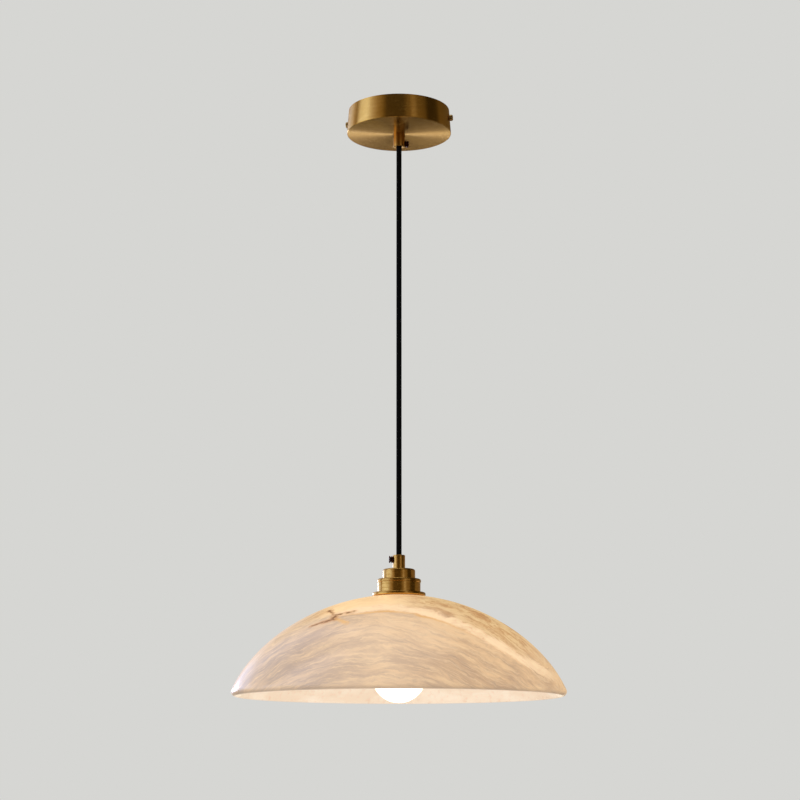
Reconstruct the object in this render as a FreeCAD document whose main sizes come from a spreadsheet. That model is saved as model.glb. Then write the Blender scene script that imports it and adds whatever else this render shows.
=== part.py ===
"""Alabaster bowl pendant: a stone bowl with a bulb inside, hung from a brass canopy on one straight cord.

Millimetres, +Z up. The origin is the centre of the canopy's mounting plane on the ceiling, and the ceiling
bracket lies along X. Everything hangs below, so the levels of the lamp are negative.
"""
import FreeCAD
import Part
import Sketcher
import math
import os

# ---------------------------------------------------------------------------------------------------------
# Driving dimensions, in millimetres and degrees. Each one is a cell of the document's spreadsheet.
# ---------------------------------------------------------------------------------------------------------
DRIVING = {
    # clearances
    "thread_clearance": 0.05,  # radial, between a thread and its hole, both modelled plain
    "seat_clearance": 0.2,  # between a screw head and the curved wall that it presses on
    "slip_clearance": 0.1,  # radial, between a sleeve and what it slides over
    "cord_swing_gap": 0.6,  # below the upper grip's mouth, where the cord bends
    # canopy and the bracket inside it
    "canopy_radius": 60.0,
    "canopy_top_radius": 58.0,
    "canopy_height": 28.0,
    "canopy_wall": 1.2,
    "canopy_face": 1.5,
    "canopy_edge": 1.0,
    "bracket_thickness": 2.0,
    "bracket_width": 20.0,
    "bracket_reach": 56.0,
    "bracket_ear_length": 18.0,
    "bracket_bend": 3.0,
    "ceiling_slot_spacing": 86.0,
    "ceiling_slot_length": 10.0,
    "ceiling_slot_width": 4.5,
    "supply_hole_radius": 6.0,
    "side_screw_radius": 2.0,
    "side_screw_length": 9.0,
    "side_screw_drop": 12.5,  # from the ceiling to the screw's axis
    "side_head_radius": 3.6,
    "side_head_thickness": 3.8,
    "driver_slot_width": 0.8,
    "driver_slot_depth": 1.0,
    "screw_head_edge": 0.4,
    # threaded tubes, nuts and washers on them
    "tube_radius": 5.0,
    "tube_bore_radius": 3.5,
    "tube_through": 1.0,  # how far the lamp's tube stands out of the plate that it is screwed into
    "tube_rise": 12.0,  # how far the canopy's tube stands above the canopy's face
    "nut_across_flats": 14.0,
    "nut_thickness": 3.0,
    "washer_radius": 9.0,
    "washer_thickness": 1.0,
    # cord grips
    "grip_radius": 6.8,
    "grip_length": 15.6,
    "grip_thread_depth": 8.0,
    "grip_bore_radius": 4.2,
    "grip_lip_radius": 3.5,
    "grip_lip_thickness": 1.5,
    "grip_edge": 0.7,
    "grip_screw_radius": 1.5,
    "grip_screw_from_mouth": 4.8,
    "grip_head_radius": 3.9,
    "grip_head_waist": 2.5,
    "grip_head_thickness": 4.0,
    "grip_head_rim": 1.2,
    "upper_grip_screw_angle": 32.0,
    "lower_grip_screw_angle": 196.0,
    # cord
    "cord_radius": 3.0,
    "cord_free_length": 472.3,
    "cord_ball_radius": 2.5,
    "cord_tail_above_tube": 2.0,
    "conductor_radius": 0.9,
    "conductor_offset": 1.6,
    "conductor_run_in": 4.0,  # straight run in front of the block
    "conductor_grip": 6.0,  # length inside the block
    "conductor_stop": 1.0,  # above the bottom of the holder's wire holes
    # terminal block and earth tag in the canopy
    "block_centre": 24.0,
    "block_length": 20.0,
    "block_width": 18.0,
    "block_height": 11.0,
    "block_pole_offset": 4.5,
    "clamp_radius": 2.2,
    "clamp_bore_radius": 1.2,
    "clamp_end_inset": 1.0,
    "clamp_screw_radius": 1.2,
    "clamp_screw_offset": 5.0,
    "block_screw_radius": 1.5,
    "block_head_radius": 2.8,
    "block_head_thickness": 1.8,
    "earth_centre": -22.0,
    "earth_screw_radius": 2.0,
    "earth_head_radius": 3.5,
    "earth_head_thickness": 2.4,
    "earth_tag_radius": 4.5,
    "earth_tag_thickness": 0.8,
    "earth_tag_reach": 10.0,
    "earth_tag_width": 4.0,
    # lamp cap, collar and flange
    "cap_radius": 17.9,
    "cap_height": 11.0,
    "cap_edge": 2.2,
    "cap_wall": 1.2,
    "cap_plate": 1.5,
    "collar_radius": 23.7,
    "collar_height": 14.9,
    "collar_lip_radius": 24.3,
    "collar_lip_height": 4.0,
    "collar_lip_edge": 1.8,
    "collar_lip_bevel": 0.5,
    "flange_radius": 29.3,
    "flange_thickness": 3.9,
    "flange_edge": 1.3,
    "gasket_radius": 27.5,
    "gasket_thickness": 0.8,
    # stone bowl: a flat seat, then three tangent arcs down to the rim
    "bowl_hole_radius": 20.6,
    "bowl_seat_radius": 29.3,
    "bowl_height": 108.6,
    "bowl_wall": 8.0,
    "bowl_crown_thickness": 8.0,
    "crown_arc_radius": 221.2,
    "crown_arc_angle": 34.6,
    "shoulder_arc_radius": 185.2,
    "shoulder_arc_angle": 50.0,
    "side_arc_radius": 133.7,
    "rim_outer_round": 5.0,
    "rim_inner_round": 1.5,
    "rim_flat_left": 0.1,  # flat that stays between the two rounds of the rim, however thin the wall
    # lampholder
    "lower_gasket_radius": 27.0,
    "lower_gasket_thickness": 1.5,
    "clamp_ring_radius": 27.0,
    "clamp_ring_thickness": 6.0,
    "clamp_ring_notch": 4.0,
    "holder_radius": 19.6,
    "holder_wall": 1.6,
    "holder_length": 41.5,
    "holder_mouth_radius": 14.8,
    "dome_height": 14.0,
    "dome_edge": 3.5,
    "insert_radius": 17.9,
    "insert_thickness": 9.0,
    "insert_recess_radius": 8.0,
    "insert_recess_depth": 3.0,
    "shell_radius": 13.5,
    "shell_rise": 1.0,  # above the lip of the holder's mouth
    "shell_wall": 0.5,
    "shell_length": 23.0,
    "shell_top_hole_radius": 9.0,
    "contact_thickness": 0.5,
    "contact_width": 5.0,
    "contact_length": 11.0,
    "contact_rivet_radius": 1.5,
    "contact_leaf_rise": 1.0,  # of the leaf's underside above the insert's lower face
    "terminal_offset": 10.0,
    "terminal_length": 7.0,
    "terminal_width": 6.0,
    "terminal_height": 6.0,
    "terminal_screw_radius": 1.2,
    "terminal_head_radius": 2.2,
    "terminal_head_thickness": 1.2,
    # bulb
    "bulb_radius": 30.0,
    "bulb_turn_angle": 40.0,  # above its equator, where the glass turns into the neck
    "bulb_neck_radius": 12.7,
    "bulb_neck_length": 4.5,
    "bulb_glass_wall": 0.8,
    "bulb_cap_radius": 13.2,
    "bulb_cap_wall": 0.4,
    "bulb_cap_bevel": 1.5,
    "bulb_cap_length": 21.5,
    "bulb_insulator_length": 3.5,
    "bulb_insulator_tip_radius": 5.5,
    "bulb_contact_radius": 4.5,
    "bulb_contact_thickness": 1.6,
}

SIDE_HEAD_AXIS = FreeCAD.Vector(0, 1, 0)
X_AXIS = FreeCAD.Vector(1, 0, 0)
Z_AXIS = FreeCAD.Vector(0, 0, 1)
GEOMETRY_TOLERANCE = 1e-6

doc = FreeCAD.newDocument("AlabasterBowlPendant")
sheet = doc.addObject("Spreadsheet::Sheet", "Sizes")
for row, (alias, number) in enumerate(DRIVING.items(), start=1):
    sheet.set(f"A{row}", alias.replace("_", " "))
    sheet.set(f"B{row}", str(number))
    sheet.setAlias(f"B{row}", alias)
doc.recompute()


# ---------------------------------------------------------------------------------------------------------
# Sizes that know their formula, so that a sketch is drawn from the number and bound to the formula
# ---------------------------------------------------------------------------------------------------------
class Size:
    """A length or angle: its number now, and the spreadsheet formula that gives it."""

    def __init__(self, number, formula):
        self.number = number
        self.formula = formula

    @staticmethod
    def of(value):
        if isinstance(value, Size):
            return value
        return Size(float(value), repr(float(value)))

    def __add__(self, other):
        other = Size.of(other)
        return Size(self.number + other.number, f"({self.formula} + {other.formula})")

    def __radd__(self, other):
        return Size.of(other) + self

    def __sub__(self, other):
        other = Size.of(other)
        return Size(self.number - other.number, f"({self.formula} - {other.formula})")

    def __rsub__(self, other):
        return Size.of(other) - self

    def __mul__(self, other):
        other = Size.of(other)
        return Size(self.number * other.number, f"({self.formula} * {other.formula})")

    def __rmul__(self, other):
        return Size.of(other) * self

    def __truediv__(self, other):
        other = Size.of(other)
        return Size(self.number / other.number, f"({self.formula} / {other.formula})")

    def __neg__(self):
        return Size(-self.number, f"(0 - {self.formula})")


def size(alias):
    """The driving dimension with this alias."""
    return Size(float(sheet.get(alias)), f"Sizes.{alias}")


def sine(angle):
    return Size(math.sin(math.radians(angle.number)), f"sin({angle.formula} * 1 deg)")


def cosine(angle):
    return Size(math.cos(math.radians(angle.number)), f"cos({angle.formula} * 1 deg)")


def root(value):
    return Size(math.sqrt(value.number), f"sqrt({value.formula})")


def smaller(one, other):
    return Size(min(one.number, other.number), f"min({one.formula}; {other.formula})")


def leg(hypotenuse, other):
    """The third side of a right triangle."""
    return root(hypotenuse * hypotenuse - other * other)


class Corner:
    """A corner of an outline. With an arc radius, the run to the next corner is an arc of that radius."""

    def __init__(self, across, up, arc=None, left=False):
        self.across = Size.of(across)
        self.up = Size.of(up)
        self.arc = None if arc is None else Size.of(arc)
        self.left = left  # True when the arc's centre is left of the way from this corner to the next

    def point(self):
        return FreeCAD.Vector(self.across.number, self.up.number, 0)


# ---------------------------------------------------------------------------------------------------------
# Sketches and features
# ---------------------------------------------------------------------------------------------------------
pieces = {}


def keep(label, piece):
    """Gives a finished sub-part its own label, which names its node."""
    piece.Label = label
    pieces[label] = piece
    return piece


def place(piece, across=None, depth=None, up=None, rotation=None):
    """Sets a piece's place in the pendant and binds it to the sheet."""
    base = FreeCAD.Vector(*[0 if value is None else Size.of(value).number for value in (across, depth, up)])
    piece.Placement = FreeCAD.Placement(base, rotation or FreeCAD.Rotation())
    for axis, value in (("x", across), ("y", depth), ("z", up)):
        if isinstance(value, Size):
            piece.setExpression(f"Placement.Base.{axis}", value.formula)
    return piece


def new_body(label):
    return keep(label, doc.addObject("PartDesign::Body", label))


def new_sketch(body, role):
    sketch = body.newObject("Sketcher::SketchObject", f"{body.Label}_outline")
    plane = [feature for feature in body.Origin.OriginFeatures if feature.Role == role][0]
    sketch.AttachmentSupport = [(plane, "")]
    sketch.MapMode = "FlatFace"
    return sketch


def bind_point(sketch, geometry, end, across, up):
    """Fixes a sketch point at its distances from the origin, which follow the sheet."""
    for kind, axis, value in (("DistanceX", -2, across), ("DistanceY", -1, up)):
        if abs(value.number) < GEOMETRY_TOLERANCE:
            sketch.addConstraint(Sketcher.Constraint("PointOnObject", geometry, end, axis))
            continue
        if value.number > 0:
            index = sketch.addConstraint(Sketcher.Constraint(kind, -1, 1, geometry, end, value.number))
            sketch.setExpression(f"Constraints[{index}]", value.formula)
            continue
        index = sketch.addConstraint(Sketcher.Constraint(kind, geometry, end, -1, 1, -value.number))
        sketch.setExpression(f"Constraints[{index}]", (-value).formula)


def arc_between(start, end, radius, left):
    """The arc under a half turn between two points, and whether it runs anticlockwise."""
    middle = (start + end) * 0.5
    half = (end - start).Length / 2
    way = (end - start).normalize()
    rise = math.sqrt(max(radius * radius - half * half, 0.0))
    leftward = FreeCAD.Vector(-way.y, way.x, 0)
    centre = middle + leftward * (rise if left else -rise)
    first = start if left else end
    last = end if left else start
    begin = math.atan2(first.y - centre.y, first.x - centre.x)
    finish = math.atan2(last.y - centre.y, last.x - centre.x)
    circle = Part.Circle(centre, FreeCAD.Vector(0, 0, 1), radius)
    return Part.ArcOfCircle(circle, begin, finish)


def draw_outline(sketch, corners):
    """Draws a closed outline of lines and arcs, with every corner bound to the sheet."""
    ends = []
    for number, corner in enumerate(corners):
        following = corners[(number + 1) % len(corners)]
        if corner.arc is None:
            line = Part.LineSegment(corner.point(), following.point())
            ends.append((sketch.addGeometry(line, False), 1, 2))
            continue
        arc = arc_between(corner.point(), following.point(), corner.arc.number, corner.left)
        geometry = sketch.addGeometry(arc, False)
        ends.append((geometry, 1, 2) if corner.left else (geometry, 2, 1))
    for number, corner in enumerate(corners):
        geometry, start, finish = ends[number]
        following = ends[(number + 1) % len(corners)]
        sketch.addConstraint(Sketcher.Constraint("Coincident", geometry, finish, following[0], following[1]))
        bind_point(sketch, geometry, start, corner.across, corner.up)
        if corner.arc is not None:
            index = sketch.addConstraint(Sketcher.Constraint("Radius", geometry, corner.arc.number))
            sketch.setExpression(f"Constraints[{index}]", corner.arc.formula)


def draw_circle(sketch, across, up, radius):
    circle = Part.Circle(FreeCAD.Vector(across.number, up.number, 0), FreeCAD.Vector(0, 0, 1), radius.number)
    geometry = sketch.addGeometry(circle, False)
    bind_point(sketch, geometry, 3, across, up)
    index = sketch.addConstraint(Sketcher.Constraint("Radius", geometry, radius.number))
    sketch.setExpression(f"Constraints[{index}]", radius.formula)


def turned(label, corners):
    """A body of revolution about its own Z axis."""
    body = new_body(label)
    sketch = new_sketch(body, "XZ_Plane")
    draw_outline(sketch, corners)
    revolution = body.newObject("PartDesign::Revolution", f"{label}_turning")
    revolution.Profile = sketch
    revolution.ReferenceAxis = (sketch, ["V_Axis"])
    revolution.Angle = 360
    doc.recompute()
    return body


def ring(label, inner, outer, thickness):
    """A plain ring or tube standing on its own Z = 0."""
    return turned(
        label,
        [Corner(inner, 0), Corner(outer, 0), Corner(outer, thickness), Corner(inner, thickness)],
    )


def padded(label, role, corners, thickness, symmetric=False):
    """A body of one outline and one thickness."""
    body = new_body(label)
    sketch = new_sketch(body, role)
    draw_outline(sketch, corners)
    pad = body.newObject("PartDesign::Pad", f"{label}_pad")
    pad.Profile = sketch
    pad.SideType = "Symmetric" if symmetric else "One side"
    pad.setExpression("Length", thickness.formula)
    doc.recompute()
    return body


def pocket(body, role, draw, side="Symmetric", reverse=False):
    """Cuts what draw puts into a sketch right through a body, and makes sure that it cut something."""
    before = body.Shape.Volume
    sketch = new_sketch(body, role)
    draw(sketch)
    cut = body.newObject("PartDesign::Pocket", f"{body.Label}_cut")
    cut.Profile = sketch
    cut.Type = "ThroughAll"
    cut.SideType = side
    cut.Reversed = reverse
    doc.recompute()
    if body.Shape.Volume >= before:
        raise RuntimeError(f"a pocket of {body.Label} cuts nothing")
    return cut


def rectangle(left, low, right, high):
    return [Corner(left, low), Corner(right, low), Corner(right, high), Corner(left, high)]


def round_edges(body, name, radius, chosen):
    """Rounds the edges of a body that chosen accepts."""
    edges = [f"Edge{number}" for number, edge in enumerate(body.Shape.Edges, start=1) if chosen(edge)]
    if not edges:
        raise RuntimeError(f"{body.Label} has no edge to round")
    before = body.Tip
    fillet = body.newObject("PartDesign::Fillet", f"{body.Label}_{name}")
    fillet.Base = (before, edges)
    fillet.setExpression("Radius", radius.formula)
    body.Tip = fillet
    doc.recompute()
    return fillet


def hex_nut(label):
    """A hexagon nut with a plain bore, standing on its own Z = 0."""
    body = new_body(label)
    sketch = new_sketch(body, "XY_Plane")
    corner_radius = size("nut_across_flats") / math.sqrt(3)
    corners = []
    for step in range(6):
        turn = Size.of(30 + 60 * step)
        corners.append(Corner(corner_radius * cosine(turn), corner_radius * sine(turn)))
    draw_outline(sketch, corners)
    draw_circle(sketch, Size.of(0), Size.of(0), size("tube_radius") + size("thread_clearance"))
    pad = body.newObject("PartDesign::Pad", f"{label}_pad")
    pad.Profile = sketch
    pad.setExpression("Length", "Sizes.nut_thickness")
    doc.recompute()
    return body


def slotted(body, top):
    """Cuts a driver slot across the top of a turned screw."""
    half = size("driver_slot_width") / 2
    corners = rectangle(-half, top - size("driver_slot_depth"), half, top)
    return pocket(body, "XZ_Plane", lambda sketch: draw_outline(sketch, corners))


def headed_screw(label, shank_radius, shank_length, head_radius, head_thickness):
    """A cheese-head screw whose tip is at its own Z = 0, with its head up."""
    top = shank_length + head_thickness
    edge = size("screw_head_edge")
    body = turned(
        label,
        [
            Corner(0, 0),
            Corner(shank_radius, 0),
            Corner(shank_radius, shank_length),
            Corner(head_radius, shank_length),
            Corner(head_radius, top - edge, arc=edge, left=True),
            Corner(head_radius - edge, top),
            Corner(0, top),
        ],
    )
    slotted(body, top)
    return body


def primitive(kind, name, **properties):
    """A Part primitive whose properties are bound to the sheet."""
    thing = doc.addObject(kind, name)
    for key, value in properties.items():
        thing.setExpression(key, Size.of(value).formula)
    return thing


def cylinder(name, radius, height, across=None, depth=None, up=None, rotation=None):
    thing = primitive("Part::Cylinder", name, Radius=radius, Height=height)
    return place(thing, across, depth, up, rotation)


def box(name, length, width, height, across=None, depth=None, up=None):
    thing = primitive("Part::Box", name, Length=length, Width=width, Height=height)
    return place(thing, across, depth, up)


def cut_from(name, base, tools):
    """Base with every tool taken out of it."""
    removed = tools[0]
    if len(tools) > 1:
        removed = doc.addObject("Part::MultiFuse", f"{name}_tools")
        removed.Shapes = tools
    cut = doc.addObject("Part::Cut", name)
    cut.Base = base
    cut.Tool = removed
    return cut


def group(label, members):
    """Several alike solids that share one node."""
    together = doc.addObject("Part::Compound", label)
    together.Links = members
    return keep(label, together)


def conductor(label, route):
    """An insulated wire along straight runs joined by tangent arcs. The route holds points of Sizes."""
    radius = size("conductor_radius").number
    bend = 2.2 * radius
    points = [FreeCAD.Vector(*[Size.of(value).number for value in point]) for point in route]
    edges = []
    last = points[0]
    for before, corner, after in zip(points, points[1:], points[2:]):
        incoming = (before - corner).normalize()
        outgoing = (after - corner).normalize()
        half_opening = incoming.getAngle(outgoing) / 2
        reach = bend / math.tan(half_opening)
        begin = corner + incoming * reach
        finish = corner + outgoing * reach
        bisector = (incoming + outgoing).normalize()
        middle = corner + bisector * (bend / math.sin(half_opening) - bend)
        edges.append(Part.LineSegment(last, begin).toShape())
        edges.append(Part.Arc(begin, middle, finish).toShape())
        last = finish
    edges.append(Part.LineSegment(last, points[-1]).toShape())
    path = Part.Wire(edges)
    section = Part.Wire([Part.Circle(points[0], points[1] - points[0], radius).toShape()])
    wire = doc.addObject("Part::Feature", label)
    wire.Shape = path.makePipeShell([section], True, True)
    expected = math.pi * radius * radius * path.Length
    print(f"{label}: length {path.Length:.1f}, volume {wire.Shape.Volume / expected:.4f} of section x length")
    return keep(label, wire)


# ---------------------------------------------------------------------------------------------------------
# Levels of the pendant, from the ceiling down
# ---------------------------------------------------------------------------------------------------------
canopy_bottom = -size("canopy_height")
upper_mouth = canopy_bottom - size("grip_length")
lower_mouth = upper_mouth - size("cord_free_length")
cap_top = lower_mouth - size("grip_length")
collar_top = cap_top - size("cap_height")
flange_top = collar_top - size("collar_height")
gasket_top = flange_top - size("flange_thickness")
bowl_top = gasket_top - size("gasket_thickness")
rim_level = bowl_top - size("bowl_height")
dome_top = collar_top - size("cap_plate")
holder_top = dome_top - size("dome_height")
holder_mouth = holder_top - size("holder_length")
shell_bottom = holder_mouth + size("holder_wall") + size("shell_rise")
insert_bottom = shell_bottom + size("shell_length")
leaf_bottom = insert_bottom + size("contact_leaf_rise")
lower_tube_bottom = dome_top - size("holder_wall") - size("tube_through")
lower_cord_end = dome_top - size("holder_wall")
THREAD = size("thread_clearance")
SLIP = size("slip_clearance")


# ---------------------------------------------------------------------------------------------------------
# Ceiling bracket and canopy
# ---------------------------------------------------------------------------------------------------------
def side_screw_seat():
    """Radius of the canopy's drafted wall at the lower edge of the side screws' heads."""
    share = (size("canopy_height") - size("side_screw_drop") - size("side_head_radius")) / size("canopy_height")
    return size("canopy_radius") - (size("canopy_radius") - size("canopy_top_radius")) * share


def make_ceiling_bracket():
    """A strip under the ceiling with both ends bent down. The side screws turn in its ears."""
    reach = size("bracket_reach")
    thick = size("bracket_thickness")
    length = size("bracket_ear_length")
    bend = size("bracket_bend")
    corners = [
        Corner(-reach, 0),
        Corner(thick - reach, 0),
        Corner(thick - reach, length - thick),
        Corner(reach - thick, length - thick),
        Corner(reach - thick, 0),
        Corner(reach, 0),
        Corner(reach, length - bend, arc=bend, left=True),
        Corner(reach - bend, length),
        Corner(bend - reach, length, arc=bend, left=True),
        Corner(-reach, length - bend),
    ]
    body = padded("ceiling_bracket", "XZ_Plane", corners, size("bracket_width"), symmetric=True)

    half_slot = size("ceiling_slot_width") / 2
    half_straight = size("ceiling_slot_length") / 2 - half_slot
    half_spacing = size("ceiling_slot_spacing") / 2

    def slot_middles(sketch):
        for side in (-1, 1):
            middle = half_spacing * side
            draw_outline(
                sketch, rectangle(middle - half_straight, -half_slot, middle + half_straight, half_slot)
            )

    def slot_ends(end):
        def draw(sketch):
            for side in (-1, 1):
                draw_circle(sketch, half_spacing * side + half_straight * end, Size.of(0), half_slot)

        return draw

    def strip_holes(sketch):
        draw_circle(sketch, Size.of(0), Size.of(0), size("supply_hole_radius"))
        draw_circle(sketch, size("block_centre"), Size.of(0), size("block_screw_radius") + THREAD)
        draw_circle(sketch, size("earth_centre"), Size.of(0), size("earth_screw_radius") + THREAD)

    pocket(body, "XY_Plane", slot_middles)
    pocket(body, "XY_Plane", slot_ends(-1))
    pocket(body, "XY_Plane", slot_ends(1))
    pocket(body, "XY_Plane", strip_holes)
    ear_hole_height = length - size("side_screw_drop")
    ear_hole_radius = size("side_screw_radius") + THREAD
    pocket(
        body,
        "YZ_Plane",
        lambda sketch: draw_circle(sketch, Size.of(0), ear_hole_height, ear_hole_radius),
    )
    place(body, up=-length)


def make_canopy_cup():
    """The brass cup against the ceiling, with two side holes and a hole for the cord grip's tube."""
    radius = size("canopy_radius")
    top_radius = size("canopy_top_radius")
    height = size("canopy_height")
    wall = size("canopy_wall")
    face = size("canopy_face")
    edge = size("canopy_edge")
    hole = size("tube_radius") + SLIP
    corners = [
        Corner(hole, 0),
        Corner(radius - edge, 0, arc=edge, left=True),
        Corner(radius, edge),
        Corner(top_radius, height),
        Corner(top_radius - wall, height),
        Corner(radius - wall, face),
        Corner(hole, face),
    ]
    body = turned("canopy_cup", corners)
    hole_height = height - size("side_screw_drop")
    hole_radius = size("side_screw_radius") + SLIP
    pocket(body, "YZ_Plane", lambda sketch: draw_circle(sketch, Size.of(0), hole_height, hole_radius))
    place(body, up=canopy_bottom)


def make_canopy_screws():
    """Two slotted brass screws that hold the canopy on the bracket's ears."""
    tip = side_screw_seat() + size("seat_clearance") - size("side_screw_length")
    for label, side, turn in (("canopy_screw_right", 1, 90), ("canopy_screw_left", -1, -90)):
        body = headed_screw(
            label,
            size("side_screw_radius"),
            size("side_screw_length"),
            size("side_head_radius"),
            size("side_head_thickness"),
        )
        place(
            body,
            across=tip * side,
            up=-size("side_screw_drop"),
            rotation=FreeCAD.Rotation(SIDE_HEAD_AXIS, turn),
        )


def make_canopy_tube():
    """The threaded tube that joins the upper cord grip to the canopy, with its washer and nut."""
    inside = canopy_bottom + size("canopy_face")
    tube = ring(
        "canopy_tube",
        size("tube_bore_radius"),
        size("tube_radius"),
        size("grip_thread_depth") + size("tube_rise"),
    )
    place(tube, up=canopy_bottom - size("grip_thread_depth"))
    washer = ring(
        "canopy_washer", size("tube_radius") + SLIP, size("washer_radius"), size("washer_thickness")
    )
    place(washer, up=inside)
    place(hex_nut("canopy_nut"), up=inside + size("washer_thickness"))


# ---------------------------------------------------------------------------------------------------------
# Cord grips
# ---------------------------------------------------------------------------------------------------------
def make_cord_grip(prefix, mouth, screw_angle, mouth_up):
    """A turned brass grip with a nylon bush and a screw that presses the bush on the cord."""
    length = size("grip_length")
    edge = size("grip_edge")
    outer = size("grip_radius")
    bore = size("grip_bore_radius")
    lip = size("grip_lip_radius")
    lip_thickness = size("grip_lip_thickness")
    thread = size("tube_radius") + THREAD
    thread_start = length - size("grip_thread_depth")
    flip = FreeCAD.Rotation(X_AXIS, 180 if mouth_up else 0)
    turn = FreeCAD.Rotation(Z_AXIS, screw_angle.number)
    grip = turned(
        f"{prefix}_cord_grip",
        [
            Corner(lip, 0),
            Corner(outer - edge, 0, arc=edge, left=True),
            Corner(outer, edge),
            Corner(outer, length),
            Corner(thread, length),
            Corner(thread, thread_start),
            Corner(bore, thread_start),
            Corner(bore, lip_thickness),
            Corner(lip, lip_thickness),
        ],
    )
    screw_height = size("grip_screw_from_mouth")
    hole = size("grip_screw_radius") + THREAD
    pocket(
        grip,
        "YZ_Plane",
        lambda sketch: draw_circle(sketch, Size.of(0), screw_height, hole),
        side="One side",
        reverse=True,
    )
    place(grip, up=mouth, rotation=turn.multiply(flip))

    bush = ring(f"{prefix}_grip_bush", size("cord_radius") + SLIP, bore - THREAD, thread_start - lip_thickness)
    place(bush, up=mouth + lip_thickness * (-1 if mouth_up else 1), rotation=flip)

    shank = outer + size("seat_clearance") - bore
    top = shank + size("grip_head_thickness")
    head_rim = size("grip_head_rim")
    screw = turned(
        f"{prefix}_grip_screw",
        [
            Corner(0, 0),
            Corner(size("grip_screw_radius"), 0),
            Corner(size("grip_screw_radius"), shank),
            Corner(size("grip_head_radius"), shank),
            Corner(size("grip_head_radius"), shank + head_rim),
            Corner(size("grip_head_waist"), shank + size("grip_head_thickness") / 2),
            Corner(size("grip_head_radius"), top - head_rim),
            Corner(size("grip_head_radius"), top),
            Corner(0, top),
        ],
    )
    slotted(screw, top)
    outward = turn.multiply(FreeCAD.Rotation(SIDE_HEAD_AXIS, 90))
    place(
        screw,
        across=bore * cosine(screw_angle),
        depth=bore * sine(screw_angle),
        up=mouth + screw_height * (-1 if mouth_up else 1),
        rotation=outward,
    )


# ---------------------------------------------------------------------------------------------------------
# Cord
# ---------------------------------------------------------------------------------------------------------
def make_cord():
    """The cord: a tail held in the canopy, a ball where it bends at the grip's mouth, and the long run."""
    radius = size("cord_radius")
    ball = size("cord_ball_radius")
    tail_bottom = upper_mouth + ball + size("cord_swing_gap")
    tail_top = canopy_bottom + size("tube_rise") + size("cord_tail_above_tube")
    tail = primitive("Part::Cylinder", "cord_tail", Radius=radius, Height=tail_top - tail_bottom)
    keep("cord_tail", place(tail, up=tail_bottom))

    neck = primitive("Part::Sphere", "cord_neck", Radius=ball)
    keep("cord_neck", place(neck, up=upper_mouth))

    gap = size("cord_swing_gap")
    socket = ball + SLIP * 2
    length = upper_mouth - gap - lower_cord_end
    corners = [
        Corner(0, 0),
        Corner(radius, 0),
        Corner(radius, length),
        Corner(leg(socket, gap), length, arc=socket, left=False),
        Corner(0, length + gap - socket),
    ]
    body = turned("suspension_cord", corners)
    place(body, up=lower_cord_end)
    expected = math.pi * radius.number**2 * length.number
    print(f"suspension_cord: one straight run of {length.number:.1f}, {length.number / 2 / radius.number:.0f}")
    print(f"diameters long, no bends, volume {body.Shape.Volume / expected:.4f} of section x length")
    return tail_top


# ---------------------------------------------------------------------------------------------------------
# Terminal block, earth tag and conductors in the canopy
# ---------------------------------------------------------------------------------------------------------
def make_terminal_block(tail_top):
    """A two-pole screw terminal block under the bracket, where the cord meets the supply."""
    length = size("block_length")
    height = size("block_height")
    start = size("block_centre") - length / 2
    bottom = -size("bracket_thickness") - height
    axis_level = bottom + height / 2
    along = FreeCAD.Rotation(SIDE_HEAD_AXIS, 90)
    screw_tip = axis_level - size("conductor_radius") - SLIP
    head_room = size("clamp_screw_radius") + SLIP
    bores, clamps, screws = [], [], []
    for side in (-1, 1):
        pole = size("block_pole_offset") * side
        bores.append(
            cylinder("pole_bore", size("clamp_radius") + THREAD, length, start, pole, axis_level, along)
        )
        clamp = cylinder(
            "clamp_rod",
            size("clamp_radius"),
            length - 2 * size("clamp_end_inset"),
            start + size("clamp_end_inset"),
            pole,
            axis_level,
            along,
        )
        holes = [cylinder("clamp_bore", size("clamp_bore_radius"), length, start, pole, axis_level, along)]
        for end in (-1, 1):
            place_x = size("block_centre") + size("clamp_screw_offset") * end
            bores.append(cylinder("screw_well", head_room, height / 2, place_x, pole, bottom))
            holes.append(cylinder("clamp_hole", head_room, height / 2, place_x, pole, bottom))
            screw = cylinder(
                "clamp_screw", size("clamp_screw_radius"), screw_tip - bottom, place_x, pole, bottom
            )
            half_slot = size("driver_slot_width") / 2
            slot = box(
                "clamp_screw_slot",
                size("driver_slot_width"),
                2 * head_room,
                size("driver_slot_depth"),
                place_x - half_slot,
                pole - head_room,
                bottom,
            )
            screws.append(cut_from("slotted_clamp_screw", screw, [slot]))
        clamps.append(cut_from("clamp", clamp, holes))
    bores.append(
        cylinder("block_screw_hole", size("block_screw_radius") + SLIP, height, size("block_centre"), up=bottom)
    )
    casing = box("block_casing", length, size("block_width"), height, start, -size("block_width") / 2, bottom)
    keep("terminal_block", cut_from("terminal_block", casing, bores))
    group("terminal_clamps", clamps)
    group("terminal_screws", screws)

    block_screw = headed_screw(
        "block_screw",
        size("block_screw_radius"),
        height + size("bracket_thickness"),
        size("block_head_radius"),
        size("block_head_thickness"),
    )
    place(block_screw, across=size("block_centre"), up=Size.of(0), rotation=FreeCAD.Rotation(X_AXIS, 180))

    inner_end = start + size("conductor_grip")
    for label, side in (("live_conductor", 1), ("neutral_conductor", -1)):
        leave = size("conductor_offset") * side
        pole = size("block_pole_offset") * side
        conductor(
            label,
            [
                (0, leave, tail_top),
                (0, leave, axis_level),
                (start - size("conductor_run_in"), pole, axis_level),
                (inner_end, pole, axis_level),
            ],
        )


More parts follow.
